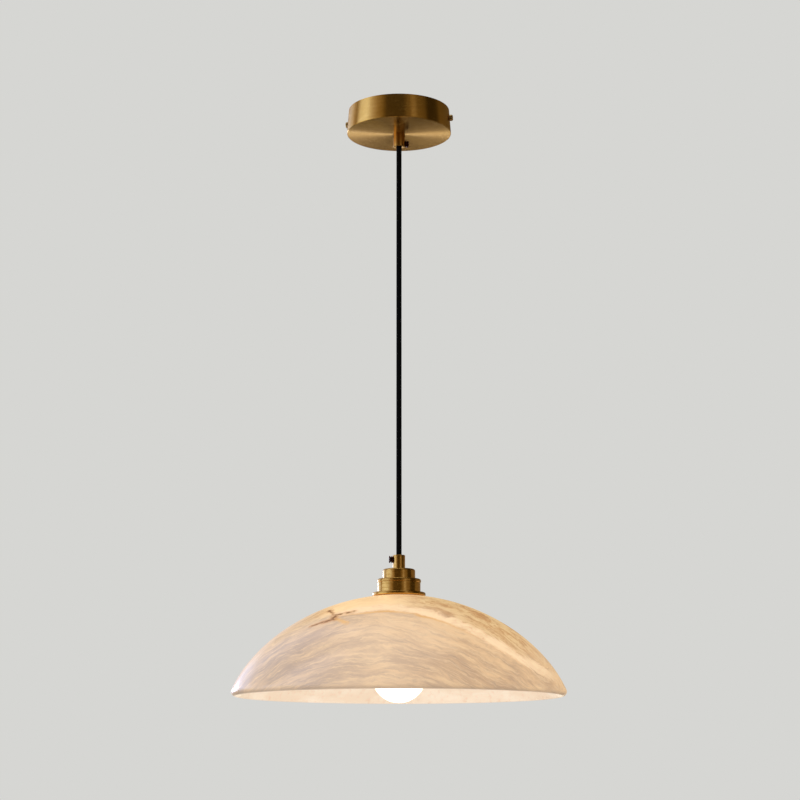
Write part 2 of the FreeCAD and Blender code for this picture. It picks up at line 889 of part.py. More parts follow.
def make_earth_terminal():
    """A ring tag and its screw under the bracket, for the supply's earth conductor."""
    centre = size("earth_centre")
    thick = size("earth_tag_thickness")
    bottom = -size("bracket_thickness") - thick
    eye = cylinder("earth_eye", size("earth_tag_radius"), thick, centre, up=bottom)
    tail = box(
        "earth_tail",
        size("earth_tag_reach"),
        size("earth_tag_width"),
        thick,
        centre - size("earth_tag_reach"),
        -size("earth_tag_width") / 2,
        bottom,
    )
    blank = doc.addObject("Part::Fuse", "earth_tag_blank")
    blank.Base = eye
    blank.Tool = tail
    hole = cylinder("earth_tag_hole", size("earth_screw_radius") + SLIP, thick, centre, up=bottom)
    keep("earth_tag", cut_from("earth_tag", blank, [hole]))
    screw = headed_screw(
        "earth_screw",
        size("earth_screw_radius"),
        size("bracket_thickness") + thick,
        size("earth_head_radius"),
        size("earth_head_thickness"),
    )
    place(screw, across=centre, up=Size.of(0), rotation=FreeCAD.Rotation(X_AXIS, 180))


# ---------------------------------------------------------------------------------------------------------
# Lamp cap, collar and flange
# ---------------------------------------------------------------------------------------------------------
def cup(label, radius, height, edge, hole):
    """A cup with its plate on top and a rounded top edge."""
    wall = size("cap_wall")
    plate = size("cap_plate")
    return turned(
        label,
        [
            Corner(radius - wall, 0),
            Corner(radius, 0),
            Corner(radius, height - edge, arc=edge, left=True),
            Corner(radius - edge, height),
            Corner(hole, height),
            Corner(hole, height - plate),
            Corner(radius - wall, height - plate),
        ],
    )


def make_lamp_cap():
    """The small brass cup under the lower grip, with the nut that holds it up to the grip."""
    hole = size("tube_radius") + SLIP
    cap = cup("lamp_cap", size("cap_radius"), size("cap_height"), size("cap_edge"), hole)
    place(cap, up=collar_top)
    place(hex_nut("cap_nut"), up=cap_top - size("cap_plate") - size("nut_thickness"))
    tube = ring(
        "lamp_tube",
        size("tube_bore_radius"),
        size("tube_radius"),
        cap_top + size("grip_thread_depth") - lower_tube_bottom,
    )
    place(tube, up=lower_tube_bottom)


def make_lamp_collar():
    """The wider brass collar with a rounded bead round its top, and the nut that holds it."""
    wall = size("cap_wall")
    plate = size("cap_plate")
    body_radius = size("collar_radius")
    lip = size("collar_lip_radius")
    height = size("collar_height")
    edge = size("collar_lip_edge")
    hole = size("tube_radius") + SLIP
    collar = turned(
        "lamp_collar",
        [
            Corner(body_radius - wall, 0),
            Corner(body_radius, 0),
            Corner(body_radius, height - size("collar_lip_height")),
            Corner(lip, height - size("collar_lip_height") + size("collar_lip_bevel")),
            Corner(lip, height - edge, arc=edge, left=True),
            Corner(lip - edge, height),
            Corner(hole, height),
            Corner(hole, height - plate),
            Corner(body_radius - wall, height - plate),
        ],
    )
    place(collar, up=flange_top)
    place(hex_nut("collar_nut"), up=collar_top)


def make_flange():
    """The thin brass disc on the stone, with a gasket under it."""
    thick = size("flange_thickness")
    edge = size("flange_edge")
    radius = size("flange_radius")
    hole = size("holder_radius") + size("seat_clearance")
    flange = turned(
        "bowl_flange",
        [
            Corner(hole, 0),
            Corner(radius - edge, 0, arc=edge, left=True),
            Corner(radius, edge),
            Corner(radius, thick - edge, arc=edge, left=True),
            Corner(radius - edge, thick),
            Corner(hole, thick),
        ],
    )
    place(flange, up=gasket_top)
    gasket = ring("upper_gasket", size("bowl_hole_radius"), size("gasket_radius"), size("gasket_thickness"))
    place(gasket, up=bowl_top)


# ---------------------------------------------------------------------------------------------------------
# Stone bowl
# ---------------------------------------------------------------------------------------------------------
def make_bowl():
    """The stone bowl, mouth down: three tangent arcs outside, and arcs about the same centres inside."""
    height = size("bowl_height")
    wall = size("bowl_wall")
    seat = size("bowl_seat_radius")
    crown = size("crown_arc_radius")
    shoulder = size("shoulder_arc_radius")
    side = size("side_arc_radius")
    sine_one, cosine_one = sine(size("crown_arc_angle")), cosine(size("crown_arc_angle"))
    sine_two, cosine_two = sine(size("shoulder_arc_angle")), cosine(size("shoulder_arc_angle"))
    crown_centre = height - leg(crown, seat)
    shoulder_across = (crown - shoulder) * sine_one
    shoulder_up = crown_centre + (crown - shoulder) * cosine_one
    side_across = shoulder_across + (shoulder - side) * sine_two
    side_up = shoulder_up + (shoulder - side) * cosine_two
    ceiling = height - size("bowl_crown_thickness")
    inner_crown, inner_shoulder, inner_side = crown - wall, shoulder - wall, side - wall
    corners = [
        Corner(size("bowl_hole_radius"), height),
        Corner(seat, height, arc=crown),
        Corner(crown * sine_one, crown_centre + crown * cosine_one, arc=shoulder),
        Corner(shoulder_across + shoulder * sine_two, shoulder_up + shoulder * cosine_two, arc=side),
        Corner(side_across + leg(side, side_up), 0),
        Corner(side_across + leg(inner_side, side_up), 0, arc=inner_side, left=True),
        Corner(
            shoulder_across + inner_shoulder * sine_two,
            shoulder_up + inner_shoulder * cosine_two,
            arc=inner_shoulder,
            left=True,
        ),
        Corner(inner_crown * sine_one, crown_centre + inner_crown * cosine_one, arc=inner_crown, left=True),
        Corner(leg(inner_crown, ceiling - crown_centre), ceiling),
        Corner(size("bowl_hole_radius"), ceiling),
    ]
    bowl = turned("alabaster_bowl", corners)
    outer_radius = side_across + leg(side, side_up)
    inner_radius = side_across + leg(inner_side, side_up)
    inner_round = size("rim_inner_round")
    flat_end = leg(inner_side + inner_round, inner_round - side_up) + size("rim_flat_left")
    room = (side * side - side_up * side_up - flat_end * flat_end) / (side - side_up) / 2
    outer_round = smaller(size("rim_outer_round"), room)

    def rim_edge(radius):
        def chosen(edge):
            flat = edge.BoundBox.ZMax < GEOMETRY_TOLERANCE and edge.BoundBox.ZLength < GEOMETRY_TOLERANCE
            return flat and abs(edge.BoundBox.XMax - radius) < 0.01

        return chosen

    round_edges(bowl, "inner_rim", inner_round, rim_edge(inner_radius.number))
    round_edges(bowl, "outer_rim", outer_round, rim_edge(outer_radius.number))
    place(bowl, up=rim_level)
    return ceiling


def make_bowl_clamp(ceiling):
    """The gasket and the notched ring that screw up the holder and hold the stone against the flange."""
    seat_level = rim_level + ceiling
    gasket_bottom = seat_level - size("lower_gasket_thickness")
    gasket = ring(
        "lower_gasket",
        size("bowl_hole_radius"),
        size("lower_gasket_radius"),
        size("lower_gasket_thickness"),
    )
    place(gasket, up=gasket_bottom)
    nut = ring(
        "clamp_ring",
        size("holder_radius") + THREAD,
        size("clamp_ring_radius"),
        size("clamp_ring_thickness"),
    )
    notch = size("clamp_ring_notch")
    for role in ("XZ_Plane", "YZ_Plane"):
        corners = rectangle(-notch / 2, 0, notch / 2, notch / 2)
        pocket(nut, role, lambda sketch, corners=corners: draw_outline(sketch, corners))
    place(nut, up=gasket_bottom - size("clamp_ring_thickness"))


# ---------------------------------------------------------------------------------------------------------
# Lampholder
# ---------------------------------------------------------------------------------------------------------
def make_holder_cases():
    """The holder's dome on the threaded tube, and the sleeve that hangs from it through the stone."""
    outer = size("holder_radius")
    wall = size("holder_wall")
    height = size("dome_height")
    edge = size("dome_edge")
    thread = size("tube_radius") + THREAD
    dome = turned(
        "holder_dome",
        [
            Corner(outer - wall, 0),
            Corner(outer, 0),
            Corner(outer, height - edge, arc=edge, left=True),
            Corner(outer - edge, height),
            Corner(thread, height),
            Corner(thread, height - wall),
            Corner(outer - edge, height - wall),
            Corner(outer - wall, height - edge),
        ],
    )
    place(dome, up=holder_top)
    length = size("holder_length")
    sleeve = turned(
        "holder_sleeve",
        [
            Corner(size("holder_mouth_radius"), 0),
            Corner(outer, 0),
            Corner(outer, length),
            Corner(outer - wall, length),
            Corner(outer - wall, wall),
            Corner(size("holder_mouth_radius"), wall),
        ],
    )
    place(sleeve, up=holder_mouth)


def make_holder_insides():
    """The ceramic insert with its contact, screw shell and terminals, and the conductors from the cord."""
    insert_top = insert_bottom + size("insert_thickness")
    shell_inner = size("shell_radius")
    shell_outer = shell_inner + size("shell_wall")
    length = size("shell_length")
    shell = turned(
        "screw_shell",
        [
            Corner(shell_inner, 0),
            Corner(shell_outer, 0),
            Corner(shell_outer, length),
            Corner(size("shell_top_hole_radius"), length),
            Corner(size("shell_top_hole_radius"), length - size("shell_wall")),
            Corner(shell_inner, length - size("shell_wall")),
        ],
    )
    place(shell, up=shell_bottom)
    insert = turned(
        "ceramic_insert",
        [
            Corner(0, size("insert_recess_depth")),
            Corner(size("insert_recess_radius"), size("insert_recess_depth")),
            Corner(size("insert_recess_radius"), 0),
            Corner(size("insert_radius"), 0),
            Corner(size("insert_radius"), size("insert_thickness")),
            Corner(0, size("insert_thickness")),
        ],
    )
    place(insert, up=insert_bottom)

    leaf = box(
        "contact_leaf",
        size("contact_length"),
        size("contact_width"),
        size("contact_thickness"),
        -size("contact_length") / 2,
        -size("contact_width") / 2,
        leaf_bottom,
    )
    rivet_height = insert_bottom + size("insert_recess_depth") - leaf_bottom
    rivet = cylinder("contact_rivet", size("contact_rivet_radius"), rivet_height, up=leaf_bottom)
    contact = doc.addObject("Part::Fuse", "centre_contact")
    contact.Base = leaf
    contact.Tool = rivet
    keep("centre_contact", contact)

    blocks, screws = [], []
    wire_hole = size("conductor_radius") + SLIP
    for side, turn in ((1, 90), (-1, -90)):
        middle = size("terminal_offset") * side
        block = box(
            "holder_block",
            size("terminal_length"),
            size("terminal_width"),
            size("terminal_height"),
            middle - size("terminal_length") / 2,
            -size("terminal_width") / 2,
            insert_top,
        )
        middle_level = insert_top + size("terminal_height") / 2
        outward = FreeCAD.Rotation(SIDE_HEAD_AXIS, turn)
        tip = middle + (size("conductor_radius") + SLIP) * side
        wire_bore = cylinder("holder_wire_bore", wire_hole, size("terminal_height"), middle, up=insert_top)
        screw_bore = cylinder(
            "holder_screw_bore",
            size("terminal_screw_radius") + THREAD,
            size("terminal_length"),
            middle,
            up=middle_level,
            rotation=outward,
        )
        blocks.append(cut_from("holder_terminal", block, [wire_bore, screw_bore]))
        shank_length = size("terminal_length") / 2 - size("conductor_radius") - SLIP
        shank = cylinder(
            "holder_shank",
            size("terminal_screw_radius"),
            shank_length,
            tip,
            up=middle_level,
            rotation=outward,
        )
        head = cylinder(
            "holder_head",
            size("terminal_head_radius"),
            size("terminal_head_thickness"),
            middle + (size("terminal_length") / 2) * side,
            up=middle_level,
            rotation=outward,
        )
        screw = doc.addObject("Part::Fuse", "holder_screw")
        screw.Base = shank
        screw.Tool = head
        screws.append(screw)
    group("holder_terminals", blocks)
    group("holder_terminal_screws", screws)

    top = insert_top + size("terminal_height")
    turn_level = (top + lower_cord_end) / 2
    for label, side in (("holder_live_conductor", 1), ("holder_neutral_conductor", -1)):
        leave = size("conductor_offset") * side
        reach = size("terminal_offset") * side
        conductor(
            label,
            [
                (leave, 0, lower_cord_end),
                (leave, 0, turn_level),
                (reach, 0, turn_level),
                (reach, 0, insert_top + size("conductor_stop")),
            ],
        )


# ---------------------------------------------------------------------------------------------------------
# Bulb
# ---------------------------------------------------------------------------------------------------------
def neck_arc_radius():
    """Radius of the hollow arc that takes the glass from its round part into its neck."""
    cosine_turn = cosine(size("bulb_turn_angle"))
    return (size("bulb_radius") * cosine_turn - size("bulb_neck_radius")) / (1 - cosine_turn)


def neck_height():
    """Height above the bulb's end at which the glass becomes a straight neck."""
    reach = size("bulb_radius") + neck_arc_radius()
    return size("bulb_radius") + reach * sine(size("bulb_turn_angle"))


def bulb_length():
    """Length of the whole bulb, from its glass end to its end contact."""
    metal = size("bulb_cap_length") + size("bulb_insulator_length") + size("bulb_contact_thickness")
    return neck_height() + metal


def make_bulb():
    """A round opal bulb on a screw cap: glass, threaded shell, black insulator and end contact."""
    bulb_bottom = leaf_bottom - SLIP - bulb_length()
    round_radius = size("bulb_radius")
    wall = size("bulb_glass_wall")
    angle = size("bulb_turn_angle")
    neck = size("bulb_neck_radius")
    arc = neck_arc_radius()
    straight = neck_height()
    glass_top = straight + size("bulb_neck_length")
    inner_round = round_radius - wall
    corners = [
        Corner(0, 0, arc=round_radius, left=True),
        Corner(round_radius, round_radius, arc=round_radius, left=True),
        Corner(
            round_radius * cosine(angle),
            round_radius + round_radius * sine(angle),
            arc=arc,
        ),
        Corner(neck, straight),
        Corner(neck, glass_top),
        Corner(neck - wall, glass_top),
        Corner(neck - wall, straight, arc=arc + wall, left=True),
        Corner(
            inner_round * cosine(angle),
            round_radius + inner_round * sine(angle),
            arc=inner_round,
        ),
        Corner(inner_round, round_radius, arc=inner_round),
        Corner(0, wall),
    ]
    place(turned("bulb_glass", corners), up=bulb_bottom)

    cap_level = bulb_bottom + straight
    outer = size("bulb_cap_radius")
    metal = size("bulb_cap_wall")
    bevel = size("bulb_cap_bevel")
    cap_length = size("bulb_cap_length")
    tip = size("bulb_insulator_tip_radius")
    cone = size("bulb_insulator_length")
    plate_hole = tip + cone
    shell = turned(
        "bulb_cap",
        [
            Corner(outer - metal, 0),
            Corner(outer, 0),
            Corner(outer, cap_length - bevel),
            Corner(outer - bevel, cap_length),
            Corner(plate_hole, cap_length),
            Corner(plate_hole, cap_length - metal),
            Corner(outer - bevel - metal, cap_length - metal),
            Corner(outer - metal, cap_length - bevel - metal),
        ],
    )
    place(shell, up=cap_level)
    insulator = turned(
        "bulb_insulator",
        [
            Corner(0, 0),
            Corner(plate_hole - SLIP, 0),
            Corner(plate_hole - SLIP, metal),
            Corner(tip, metal + cone),
            Corner(0, metal + cone),
        ],
    )
    place(insulator, up=cap_level + cap_length - metal)
    contact = turned(
        "bulb_contact",
        [
            Corner(0, 0),
            Corner(size("bulb_contact_radius"), 0),
            Corner(size("bulb_contact_radius"), size("bulb_contact_thickness") / 2),
            Corner(size("bulb_contact_radius") / 2, size("bulb_contact_thickness")),
            Corner(0, size("bulb_contact_thickness")),
        ],
    )
    place(contact, up=cap_level + cap_length + cone)
    return bulb_bottom


# ---------------------------------------------------------------------------------------------------------
# The whole pendant
# ---------------------------------------------------------------------------------------------------------
make_ceiling_bracket()
make_canopy_cup()
make_canopy_screws()
make_canopy_tube()
make_cord_grip("upper", upper_mouth, size("upper_grip_screw_angle"), mouth_up=False)
tail_top_level = make_cord()
make_terminal_block(tail_top_level)
make_earth_terminal()
make_cord_grip("lower", lower_mouth, size("lower_grip_screw_angle"), mouth_up=True)
make_lamp_cap()
make_lamp_collar()
make_flange()
bowl_ceiling = make_bowl()
make_bowl_clamp(bowl_ceiling)
make_holder_cases()
make_holder_insides()
bulb_end = make_bulb()
doc.recompute()

faults = [thing.Name for thing in doc.Objects if set(thing.State) & {"Invalid", "Error"}]
faults += [label for label, piece in pieces.items() if piece.Shape.isNull() or not piece.Shape.isValid()]
if faults:
    raise RuntimeError(f"these objects failed: {faults}")

os.makedirs("parts", exist_ok=True)
for label, piece in pieces.items():
    piece.Shape.exportStep(f"parts/{label}.step")
print(f"{len(pieces)} nodes, rim of the bowl at {rim_level.number:.1f}, bulb's end at {bulb_end.number:.1f}")
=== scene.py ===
"""Dresses the alabaster bowl pendant: turned brass, a braided black cord, a lit stone bowl and its bulb."""
import logging
import math
from dataclasses import dataclass
from enum import Enum
from functools import reduce

import bpy
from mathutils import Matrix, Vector


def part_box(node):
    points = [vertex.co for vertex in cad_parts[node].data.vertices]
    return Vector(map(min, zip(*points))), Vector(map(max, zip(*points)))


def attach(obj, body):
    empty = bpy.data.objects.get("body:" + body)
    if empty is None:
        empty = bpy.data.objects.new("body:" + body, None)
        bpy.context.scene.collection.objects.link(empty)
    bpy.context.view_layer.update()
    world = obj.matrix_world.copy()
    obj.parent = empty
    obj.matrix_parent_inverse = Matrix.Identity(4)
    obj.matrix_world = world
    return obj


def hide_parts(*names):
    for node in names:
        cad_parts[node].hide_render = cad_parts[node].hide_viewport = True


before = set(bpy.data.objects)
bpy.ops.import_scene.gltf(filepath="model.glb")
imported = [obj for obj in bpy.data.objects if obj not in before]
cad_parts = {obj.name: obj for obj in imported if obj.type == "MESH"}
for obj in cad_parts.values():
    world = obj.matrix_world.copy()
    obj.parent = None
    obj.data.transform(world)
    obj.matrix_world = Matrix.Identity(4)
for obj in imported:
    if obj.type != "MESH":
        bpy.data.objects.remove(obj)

logging.basicConfig(level=logging.INFO, format="%(message)s")
LOG = logging.getLogger("pendant")

MM = 0.001
FULL_TURN = 2 * math.pi
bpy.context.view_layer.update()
TURN_STEPS = 192
SHARP_FROM = 26.0
WELD = 2e-6

Spot = tuple[float, float]
Outline = list[Spot]
Stops = tuple[Spot, ...]
Colour = tuple[float, float, float, float]
Point = tuple[float, float, float]
Vein = tuple[Point, Point, float]
Piece = bpy.types.Object
Material = bpy.types.Material
Node = bpy.types.Node
Socket = bpy.types.NodeSocket
Tree = bpy.types.NodeTree


class Body(str, Enum):
    """The moving bodies that a piece can ride on."""

    CANOPY = "canopy"
    RIGHT_SCREW = "screw_right"
    LEFT_SCREW = "screw_left"
    BEND = "cord_bend"
    LAMP = "lamp"
    BULB = "bulb"


def tone(*display: int) -> Colour:
    """The linear colour, with full alpha, of red, green and blue display values from 0 to 255."""
    shares = [value / 255 for value in display]
    return (*[s / 12.92 if s <= 0.04045 else ((s + 0.055) / 1.055) ** 2.4 for s in shares], 1.0)


def sweep(centre: Spot, radius: float, start: float, end: float, steps: int) -> Outline:
    """Points along an arc in the plane of a half outline.

    Args:
        centre: Distance from the axis and height of the arc's centre, in millimetres.
        radius: Radius of the arc, in millimetres.
        start: Angle of the first point from the outward direction, in degrees.
        end: Angle of the last point, in degrees.
        steps: Number of runs.

    Returns:
        The points, both ends included.
    """
    angles = [math.radians(start + (end - start) * step / steps) for step in range(steps + 1)]
    return [(centre[0] + radius * math.cos(angle), centre[1] + radius * math.sin(angle)) for angle in angles]


def follow(outline: Outline, *arcs: Outline) -> Outline:
    """Adds arcs to an outline, each without its first point where it begins at the outline's end."""
    for arc in arcs:
        touches = math.dist(outline[-1], arc[0]) < WELD
        outline = outline + (arc[1:] if touches else arc)
    return outline


def deselect() -> None:
    """Leaves nothing selected, so that the next operator acts on its own piece alone."""
    bpy.ops.object.select_all(action="DESELECT")


def choose(piece: Piece) -> None:
    """Makes this piece the only selected and the active one."""
    deselect()
    piece.select_set(True)
    bpy.context.view_layer.objects.active = piece


def settle() -> None:
    """Puts the place, turn and size of the chosen piece into its mesh."""
    bpy.ops.object.transform_apply(location=True, rotation=True, scale=True)


def merge_doubles() -> None:
    """Merges what lies on the same spot in the piece that is being edited."""
    bpy.ops.mesh.select_all(action="SELECT")
    bpy.ops.mesh.remove_doubles(threshold=WELD)


def turn_piece(name: str, outline: Outline, level: float = 0.0, closed: bool = True, steps: int = TURN_STEPS,
               crease: float = SHARP_FROM) -> Piece:
    """Turns a half outline round the lamp's axis: a vertex is extruded along it, and the wire is spun.

    Args:
        name: Name of the piece.
        outline: Distances from the axis and heights, in millimetres.
        level: Height of the outline's zero in the row frame, in millimetres.
        closed: Whether the outline closes on itself, or ends on the axis at both ends.
        steps: Number of facets round the axis.
        crease: Angle in degrees above which an edge stays sharp.

    Returns:
        The turned piece, at the origin with its place in its mesh.
    """
    deselect()
    start = outline[0]
    place = (start[0] * MM, 0, (start[1] + level) * MM)
    bpy.ops.mesh.primitive_circle_add(vertices=3, radius=0.2 * MM, location=place)
    piece = bpy.context.active_object
    piece.name = piece.data.name = name
    settle()
    bpy.ops.object.mode_set(mode="EDIT")
    bpy.ops.mesh.select_all(action="SELECT")
    bpy.ops.mesh.merge(type="CENTER")
    route = outline + ([start] if closed else [])
    for here, there in zip(route, route[1:]):
        move = ((there[0] - here[0]) * MM, 0, (there[1] - here[1]) * MM)
        bpy.ops.mesh.extrude_vertices_move(TRANSFORM_OT_translate={"value": move})
    merge_doubles()
    bpy.ops.mesh.spin(steps=steps, angle=FULL_TURN, center=(0, 0, 0), axis=(0, 0, 1))
    merge_doubles()
    bpy.ops.mesh.normals_make_consistent(inside=False)
    bpy.ops.object.mode_set(mode="OBJECT")
    bpy.ops.object.shade_smooth_by_angle(angle=math.radians(crease))
    return piece


def lay_over(piece: Piece, place: Point, tilt: Point) -> None:
    """Tilts a piece about the origin, moves it, and puts both into its mesh.

    Args:
        piece: The piece, made along the axis at the origin.
        place: Where its origin goes, in metres.
        tilt: Its turn about X, Y and Z, in degrees.
    """
    choose(piece)
    piece.rotation_euler = [math.radians(angle) for angle in tilt]
    piece.location = place
    settle()


def cut_slot(piece: Piece, top: float, width: float = 0.8, depth: float = 1.0, reach: float = 8.0,
             spare: float = 2.0) -> None:
    """Saws a driver slot across the head of a screw that stands on the axis.

    Args:
        piece: The screw.
        top: Height of the head's face, in millimetres.
        width: Width of the slot, in millimetres.
        depth: Depth of the slot, in millimetres.
        reach: Length of the slot, in millimetres.
        spare: How far the saw stands out of the head, in millimetres.
    """
    deselect()
    bpy.ops.mesh.primitive_cube_add(size=1, location=(0, 0, (top - depth / 2 + spare / 2) * MM))
    saw = bpy.context.active_object
    saw.scale = (width * MM, reach * MM, (depth + spare) * MM)
    settle()
    choose(piece)
    cutter = piece.modifiers.new("slot", "BOOLEAN")
    cutter.operation, cutter.solver, cutter.object = "DIFFERENCE", "EXACT", saw
    bpy.ops.object.modifier_apply(modifier=cutter.name)
    bpy.data.objects.remove(saw, do_unlink=True)
    bpy.ops.object.shade_smooth_by_angle(angle=math.radians(SHARP_FROM))


def dress(piece: Piece, material: Material) -> None:
    """Gives a piece this finish alone."""
    piece.data.materials.clear()
    piece.data.materials.append(material)


def finish(piece: Piece, material: Material, body: Body, node: str) -> Piece:
    """Dresses a piece, lets it ride on its body and stand for its CAD node.

    Args:
        piece: The piece.
        material: Its finish.
        body: What it moves with.
        node: The CAD node that it replaces.

    Returns:
        The piece.
    """
    dress(piece, material)
    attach(piece, body.value)
    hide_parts(node)
    return piece


class NodeBench:
    """Places and joins shader nodes in one tree."""

    def __init__(self, tree: Tree) -> None:
        """Works on that tree."""
        self.tree = tree

    def node(self, kind: str, **settings: object) -> Node:
        """Adds a node of that type and sets its own choices."""
        made = self.tree.nodes.new("ShaderNode" + kind)
        for name, value in settings.items():
            setattr(made, name, value)
        return made

    def feed(self, socket: Socket, value: object) -> None:
        """Joins an output to a socket, or writes a plain value on it."""
        if isinstance(value, Socket):
            self.tree.links.new(value, socket)
        else:
            socket.default_value = value

    def fill(self, node: Node, **values: object) -> Node:
        """Feeds a node's inputs by name, with spaces written as underscores."""
        for name, value in values.items():
            self.feed(node.inputs[name.replace("_", " ")], value)
        return node

    def math(self, operation: str, *values: object, clamp: bool = False) -> Socket:
        """A Math node on up to three values."""
        made = self.node("Math", operation=operation, use_clamp=clamp)
        for socket, value in zip(made.inputs, values):
            self.feed(socket, value)
        return made.outputs[0]

    def times(self, *values: object) -> Socket:
        """The product of two or more values."""
        return reduce(lambda one, other: self.math("MULTIPLY", one, other), values)

    def minus(self, one: object, other: object) -> Socket:
        """The first value less the second."""
        return self.math("SUBTRACT", one, other)

    def scaled(self, value: object, scale: object, more: object) -> Socket:
        """A value times a scale, and some more."""
        return self.math("MULTIPLY_ADD", value, scale, more)

    def apart(self, one: object, other: object) -> Socket:
        """How far two values are apart."""
        return self.math("ABSOLUTE", self.minus(one, other))

    def vector(self, operation: str, first: object, second: object = None) -> Socket:
        """A Vector Math node; Length, Distance and Dot Product give a number, the others a vector."""
        made = self.node("VectorMath", operation=operation)
        self.feed(made.inputs[0], first)
        if second is not None:
            self.feed(made.inputs["Scale" if operation == "SCALE" else 1], second)
        return made.outputs["Value" if operation in ("LENGTH", "DISTANCE", "DOT_PRODUCT") else "Vector"]

    def rise(self, value: object, low: float, high: float, start: float = 0.0, end: float = 1.0) -> Socket:
        """A smooth step from start to end as the value goes from low to high."""
        made = self.node("MapRange", interpolation_type="SMOOTHSTEP")
        return self.fill(made, Value=value, From_Min=low, From_Max=high, To_Min=start, To_Max=end).outputs[0]

    def blend(self, share: object, under: object, over: object, how: str = "MIX") -> Socket:
        """Mixes two colours by a share."""
        made = self.node("Mix", data_type="RGBA", blend_type=how)
        for index, value in ((0, share), (6, under), (7, over)):
            self.feed(made.inputs[index], value)
        return made.outputs[2]

    def ramp(self, share: object, stops: Stops) -> Socket:
        """A grey that runs straight from stop to stop, each a place from 0 to 1 and its grey."""
        made = self.node("ValToRGB")
        points = made.color_ramp.elements
        while len(points) < len(stops):
            points.new(0.5)
        for point, (at, grey) in zip(points, stops):
            point.position = at
            point.color = (grey, grey, grey, 1.0)
        self.feed(made.inputs[0], share)
        return made.outputs["Color"]

    def noise(self, place: object, scale: object, detail: float, rough: float = 0.5, swirl: float = 0.0,
              output: str = "Fac") -> Socket:
        """A noise texture on a place."""
        made = self.node("TexNoise")
        self.fill(made, Vector=place, Scale=scale, Detail=detail, Roughness=rough, Distortion=swirl)
        return made.outputs[output]

    def streaks(self, place: object, flat: float, steep: float, *texture: float) -> Socket:
        """A noise with one scale in the flat and another upwards, and then its detail, roughness and swirl."""
        return self.noise(self.vector("MULTIPLY", place, (flat, flat, steep)), 1.0, *texture)

    def shake(self, place: object, *texture: float) -> Socket:
        """A noise as a vector about zero."""
        return self.vector("SUBTRACT", self.noise(place, *texture, output="Color"), (0.5, 0.5, 0.5))

    def place(self) -> Socket:
        """The piece's own coordinates, in metres."""
        return self.node("TexCoord").outputs["Object"]

    def split(self, place: Socket) -> list[Socket]:
        """The three parts of a vector."""
        return list(self.fill(self.node("SeparateXYZ"), Vector=place).outputs)

    def join(self, across: object, depth: object, up: object) -> Socket:
        """A vector from three numbers."""
        return self.fill(self.node("CombineXYZ"), X=across, Y=depth, Z=up).outputs[0]

    def bump(self, height: object, strength: float, distance: float) -> Socket:
        """A normal from a height, with the relief's depth in metres."""
        return self.fill(self.node("Bump"), Height=height, Strength=strength, Distance=distance).outputs[0]

    def group(self, tree: Tree, **values: object) -> bpy.types.NodeOutputs:
        """Places a shared effect with these inputs, and gives its outputs."""
        return self.fill(self.node("Group", node_tree=tree), **values).outputs

    def show(self, shader: Node) -> None:
        """Sends a shader to the material's surface."""
        self.feed(self.node("OutputMaterial").inputs["Surface"], shader.outputs[0])


class SharedEffect:
    """A node group with named sockets, built once."""

    def __init__(self, name: str, **inputs: float | None) -> None:
        """Starts the group with its inputs and their defaults; None makes a vector with no default."""
        self.tree = bpy.data.node_groups.new(name, "ShaderNodeTree")
        self.bench = NodeBench(self.tree)
        for label, value in inputs.items():
            kind = "NodeSocketVector" if value is None else "NodeSocketFloat"
            socket = self.tree.interface.new_socket(label, in_out="INPUT", socket_type=kind)
            if value is not None:
                socket.default_value = value
        self.entry = self.tree.nodes.new("NodeGroupInput").outputs

    def give(self, **outputs: Socket) -> Tree:
        """Sends these values out of the group, and gives its tree."""
        for label in outputs:
            self.tree.interface.new_socket(label, in_out="OUTPUT", socket_type="NodeSocketFloat")
        self.bench.fill(self.tree.nodes.new("NodeGroupOutput"), **outputs)
        return self.tree


def turned_brushing() -> Tree:
    """Fine scratches that run round the axis, as a lathe and an abrasive pad leave them.

    Returns:
        The group: Lines is the fine scratch pattern, Tone its slow change in lightness.
    """
    effect = SharedEffect("turned_brushing", Place=None, Fineness=9000.0, Run=3.0)
    bench, entry = effect.bench, effect.entry
    across, depth, up = bench.split(entry["Place"])
    flat = bench.join(across, depth, 0.0)
    radius = bench.vector("LENGTH", flat)
    east, north, _ = bench.split(bench.vector("SCALE", bench.vector("NORMALIZE", flat), entry["Run"]))
    reach = bench.times(bench.math("ADD", radius, up), entry["Fineness"])
    fine = bench.noise(bench.join(east, north, reach), 1.0, 4.0, 0.75)
    wide = bench.noise(bench.join(east, north, bench.times(reach, 0.12)), 1.0, 3.0, 0.6)
    return effect.give(Lines=fine, Tone=wide)


def handling_wear() -> Tree:
    """Faint smudges and specks that change how a surface shines.

    Returns:
        The group: Smudge is broad and soft, Speck is small and sharp.
    """
    effect = SharedEffect("handling_wear", Place=None, Size=60.0)
    bench, place, size = effect.bench, effect.entry["Place"], effect.entry["Size"]
    smudge = bench.noise(place, size, 4.0, 0.6, 0.4)
    speck = bench.rise(bench.noise(place, bench.times(size, 22.0), 2.0, 0.5), 0.66, 0.74)
    return effect.give(Smudge=smudge, Speck=speck)


def screw_thread() -> Tree:
    """A rolled thread that winds round the axis.

    Returns:
        The group: Height goes from 0 in the root to 1 on the crest.
    """
    effect = SharedEffect("screw_thread", Place=None, Pitch=0.001)
    bench = effect.bench
    across, depth, up = bench.split(effect.entry["Place"])
    wound = bench.math("DIVIDE", bench.math("ARCTAN2", depth, across), FULL_TURN)
    turns = bench.math("ADD", bench.math("DIVIDE", up, effect.entry["Pitch"]), wound)
    return effect.give(Height=bench.scaled(bench.math("SINE", bench.times(turns, FULL_TURN)), 0.5, 0.5))


